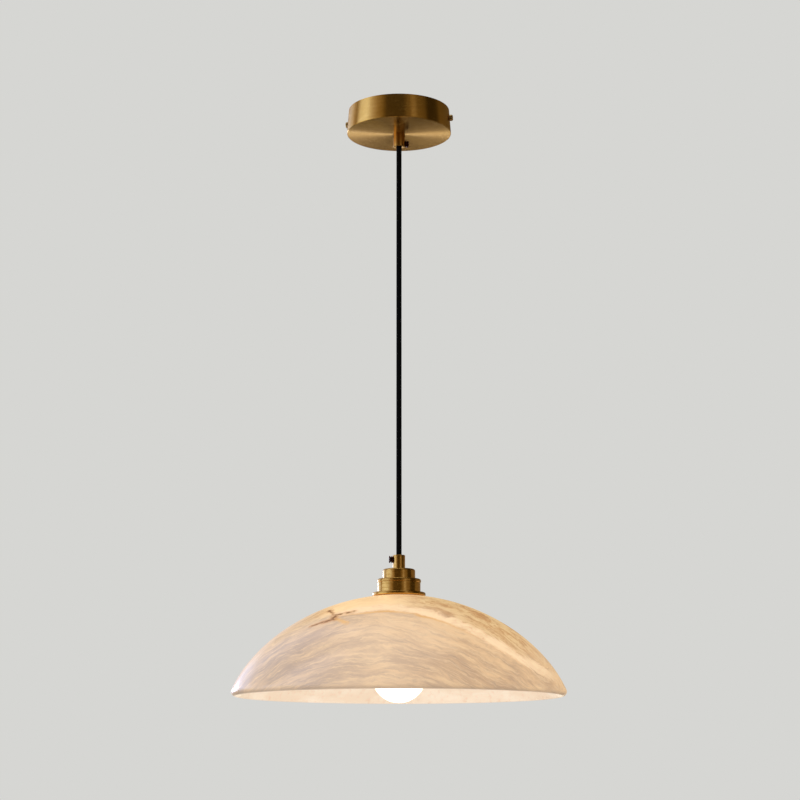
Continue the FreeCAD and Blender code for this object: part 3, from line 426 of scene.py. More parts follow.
def vein_run() -> Tree:
    """One straight run of a crack or vein in the stone, soft at its sides.

    Returns:
        The group: Mask is 1 on the line between From and To, and 0 beyond Width.
    """
    effect = SharedEffect("vein_run", Place=None, From=None, To=None, Width=0.002)
    bench, entry = effect.bench, effect.entry
    along = bench.vector("SUBTRACT", entry["To"], entry["From"])
    away = bench.vector("SUBTRACT", entry["Place"], entry["From"])
    length = bench.vector("DOT_PRODUCT", along, along)
    share = bench.math("DIVIDE", bench.vector("DOT_PRODUCT", away, along), length, clamp=True)
    gap = bench.vector("DISTANCE", away, bench.vector("SCALE", along, share))
    return effect.give(Mask=bench.math("SUBTRACT", 1.0, bench.math("DIVIDE", gap, entry["Width"]), clamp=True))


BRUSHING, WEAR, THREAD, VEIN = turned_brushing(), handling_wear(), screw_thread(), vein_run()


def blank_material(name: str) -> tuple[Material, NodeBench]:
    """An empty node material, and the bench that works on it."""
    made = bpy.data.materials.new(name)
    made.use_nodes = True
    made.node_tree.nodes.clear()
    return made, NodeBench(made.node_tree)


def start_material(name: str) -> tuple[Material, NodeBench, Node]:
    """A node material, the bench that works on it and its Principled shader."""
    made, bench = blank_material(name)
    shader = bench.node("BsdfPrincipled")
    bench.show(shader)
    return made, bench, shader


@dataclass(frozen=True)
class BrushedBrass:
    """Brass brushed round the axis: satin, with the shine drawn out across the scratches."""

    name: str = "satin_brass"
    light: Colour = (0.86, 0.54, 0.16, 1.0)
    deep: Colour = (0.66, 0.37, 0.08, 1.0)
    roughness: float = 0.24
    anisotropy: float = 1.0
    fineness: float = 3600.0
    relief: float = 0.00001

    def material(self) -> Material:
        """The finish as a material."""
        made, bench, shader = start_material(self.name)
        place = bench.place()
        scratch = bench.group(BRUSHING, Place=place, Fineness=self.fineness)
        smudge = bench.group(WEAR, Place=place)["Smudge"]
        lines = scratch["Lines"]
        colour = bench.blend(bench.rise(lines, 0.28, 0.72), self.deep, self.light)
        cloudy = bench.rise(bench.math("ADD", scratch["Tone"], smudge), 0.7, 1.3, 0.55, 0.0)
        rough = bench.rise(lines, 0.2, 0.8, self.roughness + 0.04, self.roughness - 0.02)
        bench.fill(shader, Base_Color=bench.blend(cloudy, colour, self.deep), Metallic=1.0,
                   Roughness=bench.scaled(smudge, 0.06, bench.minus(rough, 0.03)),
                   Anisotropic=self.anisotropy, Anisotropic_Rotation=0.25,
                   Tangent=bench.node("Tangent", direction_type="RADIAL", axis="Z").outputs[0],
                   Normal=bench.bump(lines, 0.1, self.relief))
        return made


@dataclass(frozen=True)
class PlainMetal:
    """A small metal part: plated, rolled or bronzed, with specks and smudges."""

    name: str
    light: Colour
    deep: Colour
    roughness: float = 0.32
    grain: float = 900.0
    thread_pitch: float = 0.0

    def material(self) -> Material:
        """The finish as a material."""
        made, bench, shader = start_material(self.name)
        place = bench.place()
        wear = bench.group(WEAR, Place=place, Size=90.0)
        grain = bench.noise(place, self.grain, 3.0, 0.6)
        colour = bench.blend(bench.rise(grain, 0.3, 0.7), self.deep, self.light)
        if self.thread_pitch:
            thread = bench.group(THREAD, Place=place, Pitch=self.thread_pitch)
            normal = bench.bump(thread["Height"], 0.9, self.thread_pitch * 0.35)
        else:
            normal = bench.bump(grain, 0.2, 0.00002)
        rough = bench.rise(wear["Smudge"], 0.3, 0.7, self.roughness - 0.07, self.roughness + 0.09)
        bench.fill(shader, Base_Color=bench.blend(wear["Speck"], colour, self.deep), Metallic=1.0,
                   Roughness=rough, Normal=normal)
        return made


@dataclass(frozen=True)
class Moulding:
    """Plastic, nylon, glazed ceramic or insulation: moulded, with a faint orange peel."""

    name: str
    colour: Colour
    shade: Colour
    roughness: float
    peel: float = 1500.0

    def material(self) -> Material:
        """The finish as a material."""
        made, bench, shader = start_material(self.name)
        place = bench.place()
        wear = bench.group(WEAR, Place=place, Size=110.0)
        smudge = wear["Smudge"]
        colour = bench.blend(bench.rise(smudge, 0.35, 0.75, 0.0, 0.6), self.colour, self.shade)
        bench.fill(shader, Base_Color=bench.blend(wear["Speck"], colour, self.shade),
                   Roughness=bench.rise(smudge, 0.3, 0.7, self.roughness - 0.05, self.roughness + 0.08),
                   Normal=bench.bump(bench.noise(place, self.peel, 2.0, 0.5), 0.15, 0.00003))
        return made


@dataclass(frozen=True)
class PressedCork:
    """Cork and rubber crumbs pressed into a gasket."""

    name: str = "cork_rubber"
    crumbs: float = 1300.0

    def material(self) -> Material:
        """The finish as a material."""
        made, bench, shader = start_material(self.name)
        crumbs = bench.fill(bench.node("TexVoronoi"), Vector=bench.place(), Scale=self.crumbs).outputs
        shade = bench.split(crumbs["Color"])[0]
        bench.fill(shader, Base_Color=bench.blend(shade, tone(120, 92, 66), tone(190, 150, 110)),
                   Roughness=bench.rise(shade, 0.0, 1.0, 0.75, 0.95),
                   Normal=bench.bump(crumbs["Distance"], 0.6, 0.0002))
        return made


@dataclass(frozen=True)
class BraidedFabric:
    """Black yarn braided round the flex: two sets of strands that cross over and under."""

    name: str = "black_braid"
    strands: float = 8.0
    lay_length: float = 0.0105
    deep: Colour = (0.0006, 0.0006, 0.0007, 1.0)
    light: Colour = (0.0030, 0.0030, 0.0036, 1.0)

    def material(self) -> Material:
        """The finish as a material."""
        made, bench, shader = start_material(self.name)
        place = bench.place()
        across, depth, up = bench.split(place)
        round_way = bench.times(bench.math("ARCTAN2", depth, across), self.strands)
        climb = bench.times(up, FULL_TURN * self.strands / self.lay_length)
        rising, falling = bench.math("ADD", round_way, climb), bench.minus(round_way, climb)
        over = bench.math("ABSOLUTE", bench.math("SINE", bench.times(rising, 0.5)))
        left = bench.times(bench.math("SINE", falling), over)
        yarn = bench.noise(place, 2600.0, 2.0, 0.6)
        lift = bench.scaled(yarn, 0.5, bench.math("MAXIMUM", bench.math("SINE", rising), left))
        # partly painted shade: the braid darker in the dips between strands; the yarn noise adds its own tone
        bench.fill(shader, Base_Color=bench.blend(bench.rise(lift, -0.4, 1.3), self.deep, self.light),
                   Roughness=bench.rise(yarn, 0.3, 0.7, 0.78, 0.92), Specular_IOR_Level=0.08,
                   Sheen_Weight=0.01, Sheen_Roughness=0.5, Normal=bench.bump(lift, 0.8, 0.00018))
        return made


@dataclass(frozen=True)
class LitGlass:
    """Opal glass with the light on behind it."""

    name: str = "opal_glass_lit"
    strength: float = 2.6

    def material(self) -> Material:
        """The finish as a material."""
        made, bench, shader = start_material(self.name)
        cloud = bench.noise(bench.place(), 70.0, 3.0, 0.5)
        bench.fill(shader, Base_Color=bench.blend(cloud, tone(255, 250, 240), tone(246, 238, 224)),
                   Emission_Color=bench.blend(cloud, tone(255, 246, 226), tone(255, 240, 214)),
                   Roughness=bench.rise(cloud, 0.3, 0.7, 0.16, 0.24), Emission_Strength=self.strength)
        return made


def small_finishes() -> dict[str, PlainMetal | Moulding | PressedCork]:
    """The finishes of small parts by name."""
    silver, grey = (0.66, 0.66, 0.64, 1.0), (0.48, 0.48, 0.47, 1.0)
    gold, dull = (0.74, 0.55, 0.27, 1.0), (0.55, 0.37, 0.14, 1.0)
    bronze, brown = (0.17, 0.06, 0.035, 1.0), (0.06, 0.022, 0.015, 1.0)
    rolled, scale = (0.62, 0.62, 0.6, 1.0), (0.4, 0.4, 0.39, 1.0)
    tin, lead = (0.6, 0.6, 0.58, 1.0), (0.35, 0.35, 0.34, 1.0)
    ink, soot = (0.02, 0.02, 0.025, 1.0), (0.035, 0.033, 0.03, 1.0)
    return {
        "zinc": PlainMetal("zinc_plate", silver, grey),
        "bracket": PlainMetal("bracket_steel", rolled, scale, 0.38, 260.0),
        "zinc_thread": PlainMetal("zinc_thread", silver, grey, thread_pitch=0.001),
        "plain_brass": PlainMetal("plain_brass", gold, dull, 0.25),
        "polished_brass": PlainMetal("polished_brass", (0.8, 0.57, 0.26, 1.0), dull, 0.16),
        "bronzed": PlainMetal("bronzed_steel", bronze, brown, 0.33),
        "brass_thread": PlainMetal("brass_thread", gold, dull, 0.3, thread_pitch=0.0035),
        "bulb_thread": PlainMetal("bulb_thread", (0.78, 0.78, 0.78, 1.0), grey, 0.28, thread_pitch=0.0035),
        "solder": PlainMetal("solder_tin", tin, lead, 0.42, 1800.0),
        "nylon": Moulding("nylon", tone(235, 232, 222), tone(214, 208, 192), 0.5),
        "white": Moulding("white_plastic", tone(238, 238, 232), tone(216, 214, 206), 0.42),
        "brown": Moulding("brown_insulation", tone(110, 66, 38), tone(84, 48, 26), 0.34),
        "blue": Moulding("blue_insulation", tone(34, 80, 178), tone(24, 60, 140), 0.34),
        "porcelain": Moulding("glazed_porcelain", tone(240, 238, 230), tone(222, 217, 204), 0.16, 500.0),
        "black_glass": Moulding("black_glass", ink, soot, 0.12, 300.0),
        "cork": PressedCork(),
    }


@dataclass(frozen=True)
class Strata:
    """What the layers of the bowl's outer face share.

    The place across the bowl, north of its axis and above its rim, the depth under the bright band, all in
    metres, and four noises that run along the beds.
    """

    across: Socket
    north: Socket
    height: Socket
    depth: Socket
    clouds: Socket
    mist: Socket
    hairs: Socket
    threads: Socket


@dataclass(frozen=True)
class Alabaster:
    """Polished alabaster, lit from behind: cloudy beds, a bright band, amber lines and one brown crack."""

    rim_level: float
    veins: dict[str, list[Vein]]
    name: str = "lit_alabaster"
    bed_rise: Point = (-0.015, -0.142, 0.9897)
    bed_arch: float = 2.75
    band_depth: float = 0.1016
    glow: float = 0.64
    body: float = 0.52
    gleam: float = 0.34

    def beds(self, bench: NodeBench, place: Socket) -> tuple[Socket, Socket]:
        """The place in the stone's own beds, which arch over the bowl.

        Args:
            bench: The bench of the material.
            place: The place on the bowl.

        Returns:
            The bent place, whose third part runs across the beds, and its depth under the bright band.
        """
        across, depth, up = bench.split(place)
        above_rim = bench.join(across, depth, bench.minus(up, self.rim_level))
        level = bench.vector("DOT_PRODUCT", above_rim, self.bed_rise)
        level = bench.scaled(bench.times(across, across), self.bed_arch, level)
        wave, ripple = bench.shake(place, 15.0, 2.0, 0.5), bench.shake(place, 70.0, 3.0, 0.6)
        bent = bench.vector("ADD", bench.join(across, depth, level), bench.vector("SCALE", wave, 0.02))
        bent = bench.vector("ADD", bent, bench.vector("SCALE", ripple, 0.006))
        stir = bench.scaled(bench.split(ripple)[1], 0.004, bench.times(bench.split(wave)[0], 0.006))
        return bent, bench.minus(self.band_depth, bench.math("ADD", level, stir))

    def cracks(self, bench: NodeBench, place: Socket, kind: str) -> Socket:
        """The mask of one kind of vein, strongest on the veins' lines."""
        shaken = bench.vector("ADD", place, bench.vector("SCALE", bench.shake(place, 160.0, 3.0, 0.6), 0.004))
        mask: object = 0.0
        for start, end, width in self.veins[kind]:
            run = bench.group(VEIN, Place=shaken, From=start, To=end, Width=width)
            mask = bench.math("MAXIMUM", mask, run["Mask"])
        return bench.times(mask, bench.rise(bench.noise(place, 220.0, 2.0), 0.25, 0.6, 0.35, 1.0))

    def ground(self, bench: NodeBench, stone: Strata) -> Socket:
        """Grey and cream clouds with fine pale and dark lines; painted light makes it warmer to the right and
        up, and brighter in front of the bulb.
        """
        # painted light: the stone tinted cooler to the left and warmer to the right and upwards
        painted_light_warmth = bench.rise(bench.scaled(stone.height, 0.7, stone.across), -0.13, 0.15)
        cream = bench.blend(painted_light_warmth, tone(229, 205, 183), tone(252, 216, 173))
        grey = bench.blend(painted_light_warmth, tone(198, 181, 172), tone(212, 180, 150))
        colour = bench.blend(bench.rise(bench.scaled(stone.mist, 1.1, stone.clouds), 0.8, 1.26), grey, cream)
        colour = bench.blend(bench.rise(stone.hairs, 0.46, 0.72, 0.0, 0.7), colour, tone(255, 226, 188))
        colour = bench.blend(bench.rise(stone.threads, 0.5, 0.74, 0.0, 0.34), colour, tone(184, 164, 150))
        # painted light: a brighter, warmer column in front of the bulb
        painted_bulb_glow = bench.rise(bench.apart(stone.across, 0.015), 0.1, 0.0, 0.0, 0.16)
        return bench.blend(painted_bulb_glow, colour, (1.25, 1.0, 0.74, 1.0))

    def crown(self, bench: NodeBench, stone: Strata, colour: Socket) -> Socket:
        """Adds the amber beds above the bright band, and painted light: a glow on the crown, brightest left of
        the fittings.
        """
        above = bench.times(bench.rise(stone.depth, 0.002, -0.01),
                            bench.rise(stone.across, -0.1, -0.06, 0.1, 1.0),
                            bench.rise(stone.across, 0.165, 0.125, 0.2, 1.0))
        lines = bench.rise(bench.scaled(stone.hairs, 0.8, bench.times(stone.clouds, 0.6)), 0.55, 0.8)
        amber = bench.blend(lines, tone(210, 154, 100), tone(255, 222, 168))
        amber = bench.blend(bench.rise(stone.threads, 0.52, 0.72, 0.0, 0.5), amber, tone(204, 158, 112))
        colour = bench.blend(bench.times(above, 0.85), colour, amber)
        # painted light: the crown near the fittings painted glowing, as the bulb's light shines through it
        bright = bench.times(bench.rise(stone.depth, 0.0, -0.004, 0.0, 0.75),
                             bench.rise(stone.across, 0.05, 0.0), bench.rise(stone.north, 0.07, 0.01),
                             bench.rise(stone.across, -0.078, -0.05, 0.1, 1.0))
        return bench.blend(bright, colour, (1.3, 0.96, 0.57, 1.0))

    def band(self, bench: NodeBench, stone: Strata, colour: Socket) -> Socket:
        """Adds the band with its frayed sides, a bed in the stone painted bright with the bulb's glow, and the
        amber line along its foot.
        """
        width = bench.rise(stone.across, -0.03, 0.13, 0.0034, 0.0036)
        fringe = bench.scaled(bench.minus(stone.hairs, 0.5), 2.2, 1.0)
        share = bench.math("DIVIDE", bench.math("ABSOLUTE", stone.depth), bench.times(width, fringe))
        front = bench.math("MAXIMUM", bench.rise(stone.across, 0.165, 0.11, 0.1, 1.0),
                           bench.rise(stone.north, -0.01, -0.05))
        # partly painted light: the band is a bed in the stone, painted glowing as the bulb's light shines
        # through it
        glowing = bench.times(bench.rise(share, 1.25, 0.45), bench.rise(stone.across, -0.062, -0.03, 0.1, 0.92),
                              bench.rise(stone.hairs, 0.32, 0.55, 0.6, 1.0), front,
                              bench.rise(stone.height, 0.004, 0.034, 0.35, 1.0))
        colour = bench.blend(glowing, colour, (1.22, 0.93, 0.62, 1.0))
        foot = bench.times(bench.rise(bench.apart(stone.depth, width), 0.0017, 0.0),
                           bench.rise(stone.mist, 0.35, 0.6, 0.25, 0.9), bench.rise(stone.across, -0.05, -0.03),
                           bench.rise(stone.across, 0.12, 0.02, 0.1, 1.0))
        return bench.blend(foot, colour, tone(244, 190, 122))

    def outside(self, bench: NodeBench, place: Socket) -> Socket:
        """The colour of the outer face as the lit lamp shows it."""
        bent, depth = self.beds(bench, place)
        across, north, up = bench.split(place)
        stone = Strata(across, north, bench.minus(up, self.rim_level), depth,
                       clouds=bench.streaks(bent, 30.0, 190.0, 6.0, 0.66, 0.3),
                       mist=bench.streaks(bent, 11.0, 55.0, 3.0, 0.55, 0.3),
                       hairs=bench.streaks(bent, 38.0, 620.0, 4.0, 0.7),
                       threads=bench.streaks(bent, 75.0, 300.0, 3.0, 0.6, 0.6))
        colour = self.band(bench, stone, self.crown(bench, stone, self.ground(bench, stone)))
        colour = bench.blend(self.cracks(bench, place, "amber"), colour, tone(250, 200, 132))
        brown = self.cracks(bench, place, "brown")
        colour = bench.blend(bench.rise(brown, 0.0, 0.6, 0.0, 0.6), colour, tone(206, 150, 104))
        colour = bench.blend(bench.rise(brown, 0.45, 1.0, 0.0, 0.95), colour, tone(128, 84, 52))
        # painted shade: the stone greyer along the last few millimetres above the rim's edge
        return bench.blend(bench.rise(stone.height, 0.0042, 0.0005, 0.0, 0.5), colour, tone(190, 168, 150))

    def inside(self, bench: NodeBench, place: Socket) -> Socket:
        """The colour of the inner face, which the bulb lights."""
        beds = bench.streaks(place, 16.0, 60.0, 4.0, 0.6, 0.6)
        flecks = bench.noise(place, 140.0, 3.0, 0.65)
        height = bench.minus(bench.split(place)[2], self.rim_level)
        colour = bench.blend(bench.rise(beds, 0.35, 0.68), tone(246, 225, 203), tone(255, 239, 221))
        colour = bench.blend(bench.rise(flecks, 0.5, 0.75, 0.0, 0.5), colour, tone(226, 199, 172))
        # painted light: the inner face lighter towards the crown, near the bulb
        return bench.blend(bench.rise(height, 0.02, 0.1, 0.0, 0.5), colour, tone(255, 240, 214))

    def material(self) -> Material:
        """The finish as a material."""
        made, bench, shader = start_material(self.name)
        place = bench.place()
        inner = bench.node("Attribute", attribute_name="inside_face").outputs["Fac"]
        colour = bench.blend(inner, self.outside(bench, place), self.inside(bench, place))
        smudge = bench.group(WEAR, Place=place, Size=40.0)["Smudge"]
        # painted light: the bulb's glow through the stone is emission, stronger and paler on the inner face
        # than on the outer
        glow_tint = bench.blend(inner, (0.78, 0.715, 0.635, 1.0), (1.0, 0.96, 0.9, 1.0))
        body = (self.body, self.body, self.body, 1.0)
        bench.fill(shader, Base_Color=bench.blend(1.0, colour, body, "MULTIPLY"),
                   Emission_Color=bench.blend(1.0, colour, glow_tint, "MULTIPLY"), Emission_Strength=self.glow,
                   Roughness=bench.rise(smudge, 0.3, 0.7, 0.13, 0.24), Specular_IOR_Level=self.gleam,
                   Normal=bench.bump(bench.noise(place, 90.0, 4.0, 0.6), 0.12, 0.0004))
        return made


@dataclass
class Canopy:
    """The brass cup at the ceiling and the two slotted screws that hold it, in millimetres."""

    radius: float = 60.0
    top_radius: float = 58.0
    height: float = 28.0
    wall: float = 1.25
    edge: float = 0.8
    hole: float = 5.1
    screw_radius: float = 2.0
    screw_point: float = 0.5
    head_radius: float = 3.6
    head_thickness: float = 3.8
    head_chamfer: float = 0.3
    head_round: float = 1.3

    def build_cup(self) -> Piece:
        """Turns the cup."""
        outline = [(self.hole, 0.0), *sweep((self.radius - self.edge, self.edge), self.edge, -90, 0, 5),
                   (self.top_radius, self.height), (self.top_radius - self.wall, self.height),
                   (self.radius - self.wall, self.wall), (self.hole, self.wall)]
        return turn_piece("canopy_cup_turned", outline, -self.height, steps=256)

    def build_screw(self, node: str, side: int) -> Piece:
        """Turns the side screw that stands for a CAD node, on the right (1) or left (-1), and seats it."""
        low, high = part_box(node)
        length = (high.x - low.x) / MM
        neck, shank = length - self.head_thickness, self.screw_radius
        head, bend = self.head_radius, self.head_round
        outline = [(0.0, 0.0), (shank - self.screw_point, 0.0), (shank, self.screw_point), (shank, neck),
                   (head - self.head_chamfer, neck), (head, neck + self.head_chamfer),
                   *sweep((head - bend, length - bend), bend, 0, 90, 8), (0.0, length)]
        screw = turn_piece(node + "_turned", outline, closed=False, steps=48)
        cut_slot(screw, length)
        seat = low.x if side > 0 else high.x
        lay_over(screw, (seat, (low.y + high.y) / 2, (low.z + high.z) / 2), (0, 90 * side, 0))
        return screw

    def assemble(self, brass: Material, screw_brass: Material) -> list[Piece]:
        """Builds, dresses and hangs the canopy's pieces."""
        pieces = [finish(self.build_cup(), brass, Body.CANOPY, "canopy_cup")]
        sides = (("canopy_screw_right", 1, Body.RIGHT_SCREW), ("canopy_screw_left", -1, Body.LEFT_SCREW))
        for node, side, body in sides:
            pieces.append(finish(self.build_screw(node, side), screw_brass, body, node))
        return pieces


@dataclass
class CordGrip:
    """A turned brass grip that holds the cord, and its bronzed set screw, in millimetres."""

    prefix: str
    body: Body
    mouth: float
    mouth_up: bool
    screw_angle: float
    radius: float = 6.8
    length: float = 15.6
    edge: float = 0.7
    chamfer: float = 0.25
    lip: float = 3.5
    lip_depth: float = 1.5
    flare: float = 0.35
    bore: float = 4.2
    bore_depth: float = 7.6
    hollow: float = 5.2
    screw_from_mouth: float = 4.8
    screw_radius: float = 1.5
    screw_gap: float = 0.2
    head_radius: float = 3.9
    waist: float = 2.5
    head_thickness: float = 4.0
    head_rim: float = 1.2

    def build_grip(self) -> Piece:
        """Turns the grip: a tube with a countersunk mouth, a bore for the cord and a hollow foot."""
        radius, foot = self.radius, self.length
        outline = [(self.lip, self.flare), (self.lip + self.flare, 0.0),
                   *sweep((radius - self.edge, self.edge), self.edge, -90, 0, 5),
                   (radius, foot - self.chamfer), (radius - self.chamfer, foot), (self.hollow, foot),
                   (self.hollow, self.bore_depth), (self.bore, self.bore_depth),
                   (self.bore, self.lip_depth), (self.lip, self.lip_depth)]
        grip = turn_piece(self.prefix + "_cord_grip_turned", outline, steps=128)
        lay_over(grip, (0, 0, self.mouth * MM), (180 if self.mouth_up else 0, 0, 0))
        return grip

    def build_screw(self) -> Piece:
        """Turns the waisted set screw, slots it and lays it in the side of the grip."""
        shank = self.radius + self.screw_gap - self.bore
        top = shank + self.head_thickness
        head, break_edge = self.head_radius, 0.2
        outline = [(0.0, 0.0), (self.screw_radius, 0.0), (self.screw_radius, shank),
                   (head - break_edge, shank), (head, shank + break_edge), (head, shank + self.head_rim),
                   (self.waist, shank + self.head_thickness / 2), (head, top - self.head_rim),
                   (head, top - self.chamfer), (head - self.chamfer, top), (0.0, top)]
        screw = turn_piece(self.prefix + "_grip_screw_turned", outline, closed=False, steps=64, crease=32)
        cut_slot(screw, top)
        angle = math.radians(self.screw_angle)
        level = self.mouth - self.screw_from_mouth * (1 if self.mouth_up else -1)
        place = (self.bore * math.cos(angle) * MM, self.bore * math.sin(angle) * MM, level * MM)
        lay_over(screw, place, (0, 90, self.screw_angle))
        return screw

    def assemble(self, brass: Material, bronze: Material) -> list[Piece]:
        """Builds, dresses and hangs the grip and its screw."""
        return [finish(self.build_grip(), brass, self.body, self.prefix + "_cord_grip"),
                finish(self.build_screw(), bronze, self.body, self.prefix + "_grip_screw")]


@dataclass
class Flex:
    """The braided cord: its tail in the canopy, the bend at the grip's mouth, and the long straight run."""

    radius: float = 3.0
    pivot: float = -43.6
    middle: float = -290.0
    end: float = -545.6
    lead: float = 40.0

    def build_run(self) -> Piece:
        """Draws the long run as one straight NURBS curve with the cord's thickness."""
        curve = bpy.data.curves.new("cord_run", "CURVE")
        curve.dimensions = "3D"
        curve.bevel_depth = self.radius * MM
        curve.bevel_resolution = 8
        curve.use_fill_caps = True
        curve.resolution_u = 24
        line = curve.splines.new("NURBS")
        levels = [self.pivot, self.pivot - self.lead, self.middle, self.end + self.lead, self.end]
        line.points.add(len(levels) - 1)
        for point, level in zip(line.points, levels):
            point.co = (0, 0, level * MM, 1)
        line.order_u = 3
        line.use_endpoint_u = True
        run = bpy.data.objects.new("cord_run", curve)
        bpy.context.scene.collection.objects.link(run)
        return run

    def build_bend(self) -> Piece:
        """Turns the rounded stretch of cord that bends in the grip's mouth."""
        outline = sweep((0.0, self.pivot), self.radius - 0.05, -90, 90, 24)
        return turn_piece("cord_bend_round", outline, closed=False, steps=64)

    def build_tail(self) -> Piece:
        """Turns the tail of the cord in the canopy, with the braid whipped at its end."""
        low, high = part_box("cord_tail")
        bottom, top = low.z / MM, high.z / MM
        whipping = ((0.0, 1.6), (0.35, 1.2), (0.05, 0.8), (0.5, 0.0))
        outline = [(0.0, bottom), (self.radius - 0.2, bottom), (self.radius, bottom + 0.3),
                   *[(self.radius - inset, top - drop) for inset, drop in whipping], (0.0, top)]
        return turn_piece("cord_tail_braid", outline, closed=False, steps=64)

    def assemble(self, braid: Material) -> list[Piece]:
        """Builds, dresses and hangs the cord."""
        run = finish(self.build_run(), braid, Body.LAMP, "suspension_cord")
        return [run, finish(self.build_bend(), braid, Body.BEND, "cord_neck"),
                finish(self.build_tail(), braid, Body.CANOPY, "cord_tail")]


@dataclass
class LampFittings:
    """The three turned brass pieces on the stone, in millimetres: small cap, beaded collar and thin flange."""

    cap_foot: float = -542.5
    collar_foot: float = -557.4
    flange_foot: float = -561.3

    def cap(self) -> Outline:
        """The small cap with its rounded shoulder, above its foot."""
        return [(16.7, 0.0), (17.7, 0.0), (17.9, 0.2), *sweep((15.7, 8.8), 2.2, 0, 90, 8),
                (5.3, 11.0), (5.3, 9.5), (15.5, 9.5), (16.7, 8.3)]

    def collar(self) -> Outline:
        """The collar with the rounded bead round its top, above its foot."""
        return [(22.5, 0.0), (23.5, 0.0), (23.7, 0.2), (23.7, 10.9), (24.3, 11.4),
                *sweep((22.5, 13.1), 1.8, 0, 90, 7), (5.3, 14.9), (5.3, 13.4), (22.5, 13.4)]

    def flange(self) -> Outline:
        """The thin flange with rounded edges, above its foot."""
        return [(19.9, 0.0), *sweep((28.0, 1.3), 1.3, -90, 0, 6), *sweep((28.0, 2.6), 1.3, 0, 90, 6),
                (19.9, 3.9)]

    def assemble(self, brass: Material) -> list[Piece]:
        """Builds, dresses and hangs the fittings."""
        parts = (("lamp_cap", self.cap(), self.cap_foot), ("lamp_collar", self.collar(), self.collar_foot),
                 ("bowl_flange", self.flange(), self.flange_foot))
        return [finish(turn_piece(node + "_turned", outline, foot), brass, Body.LAMP, node)
                for node, outline, foot in parts]


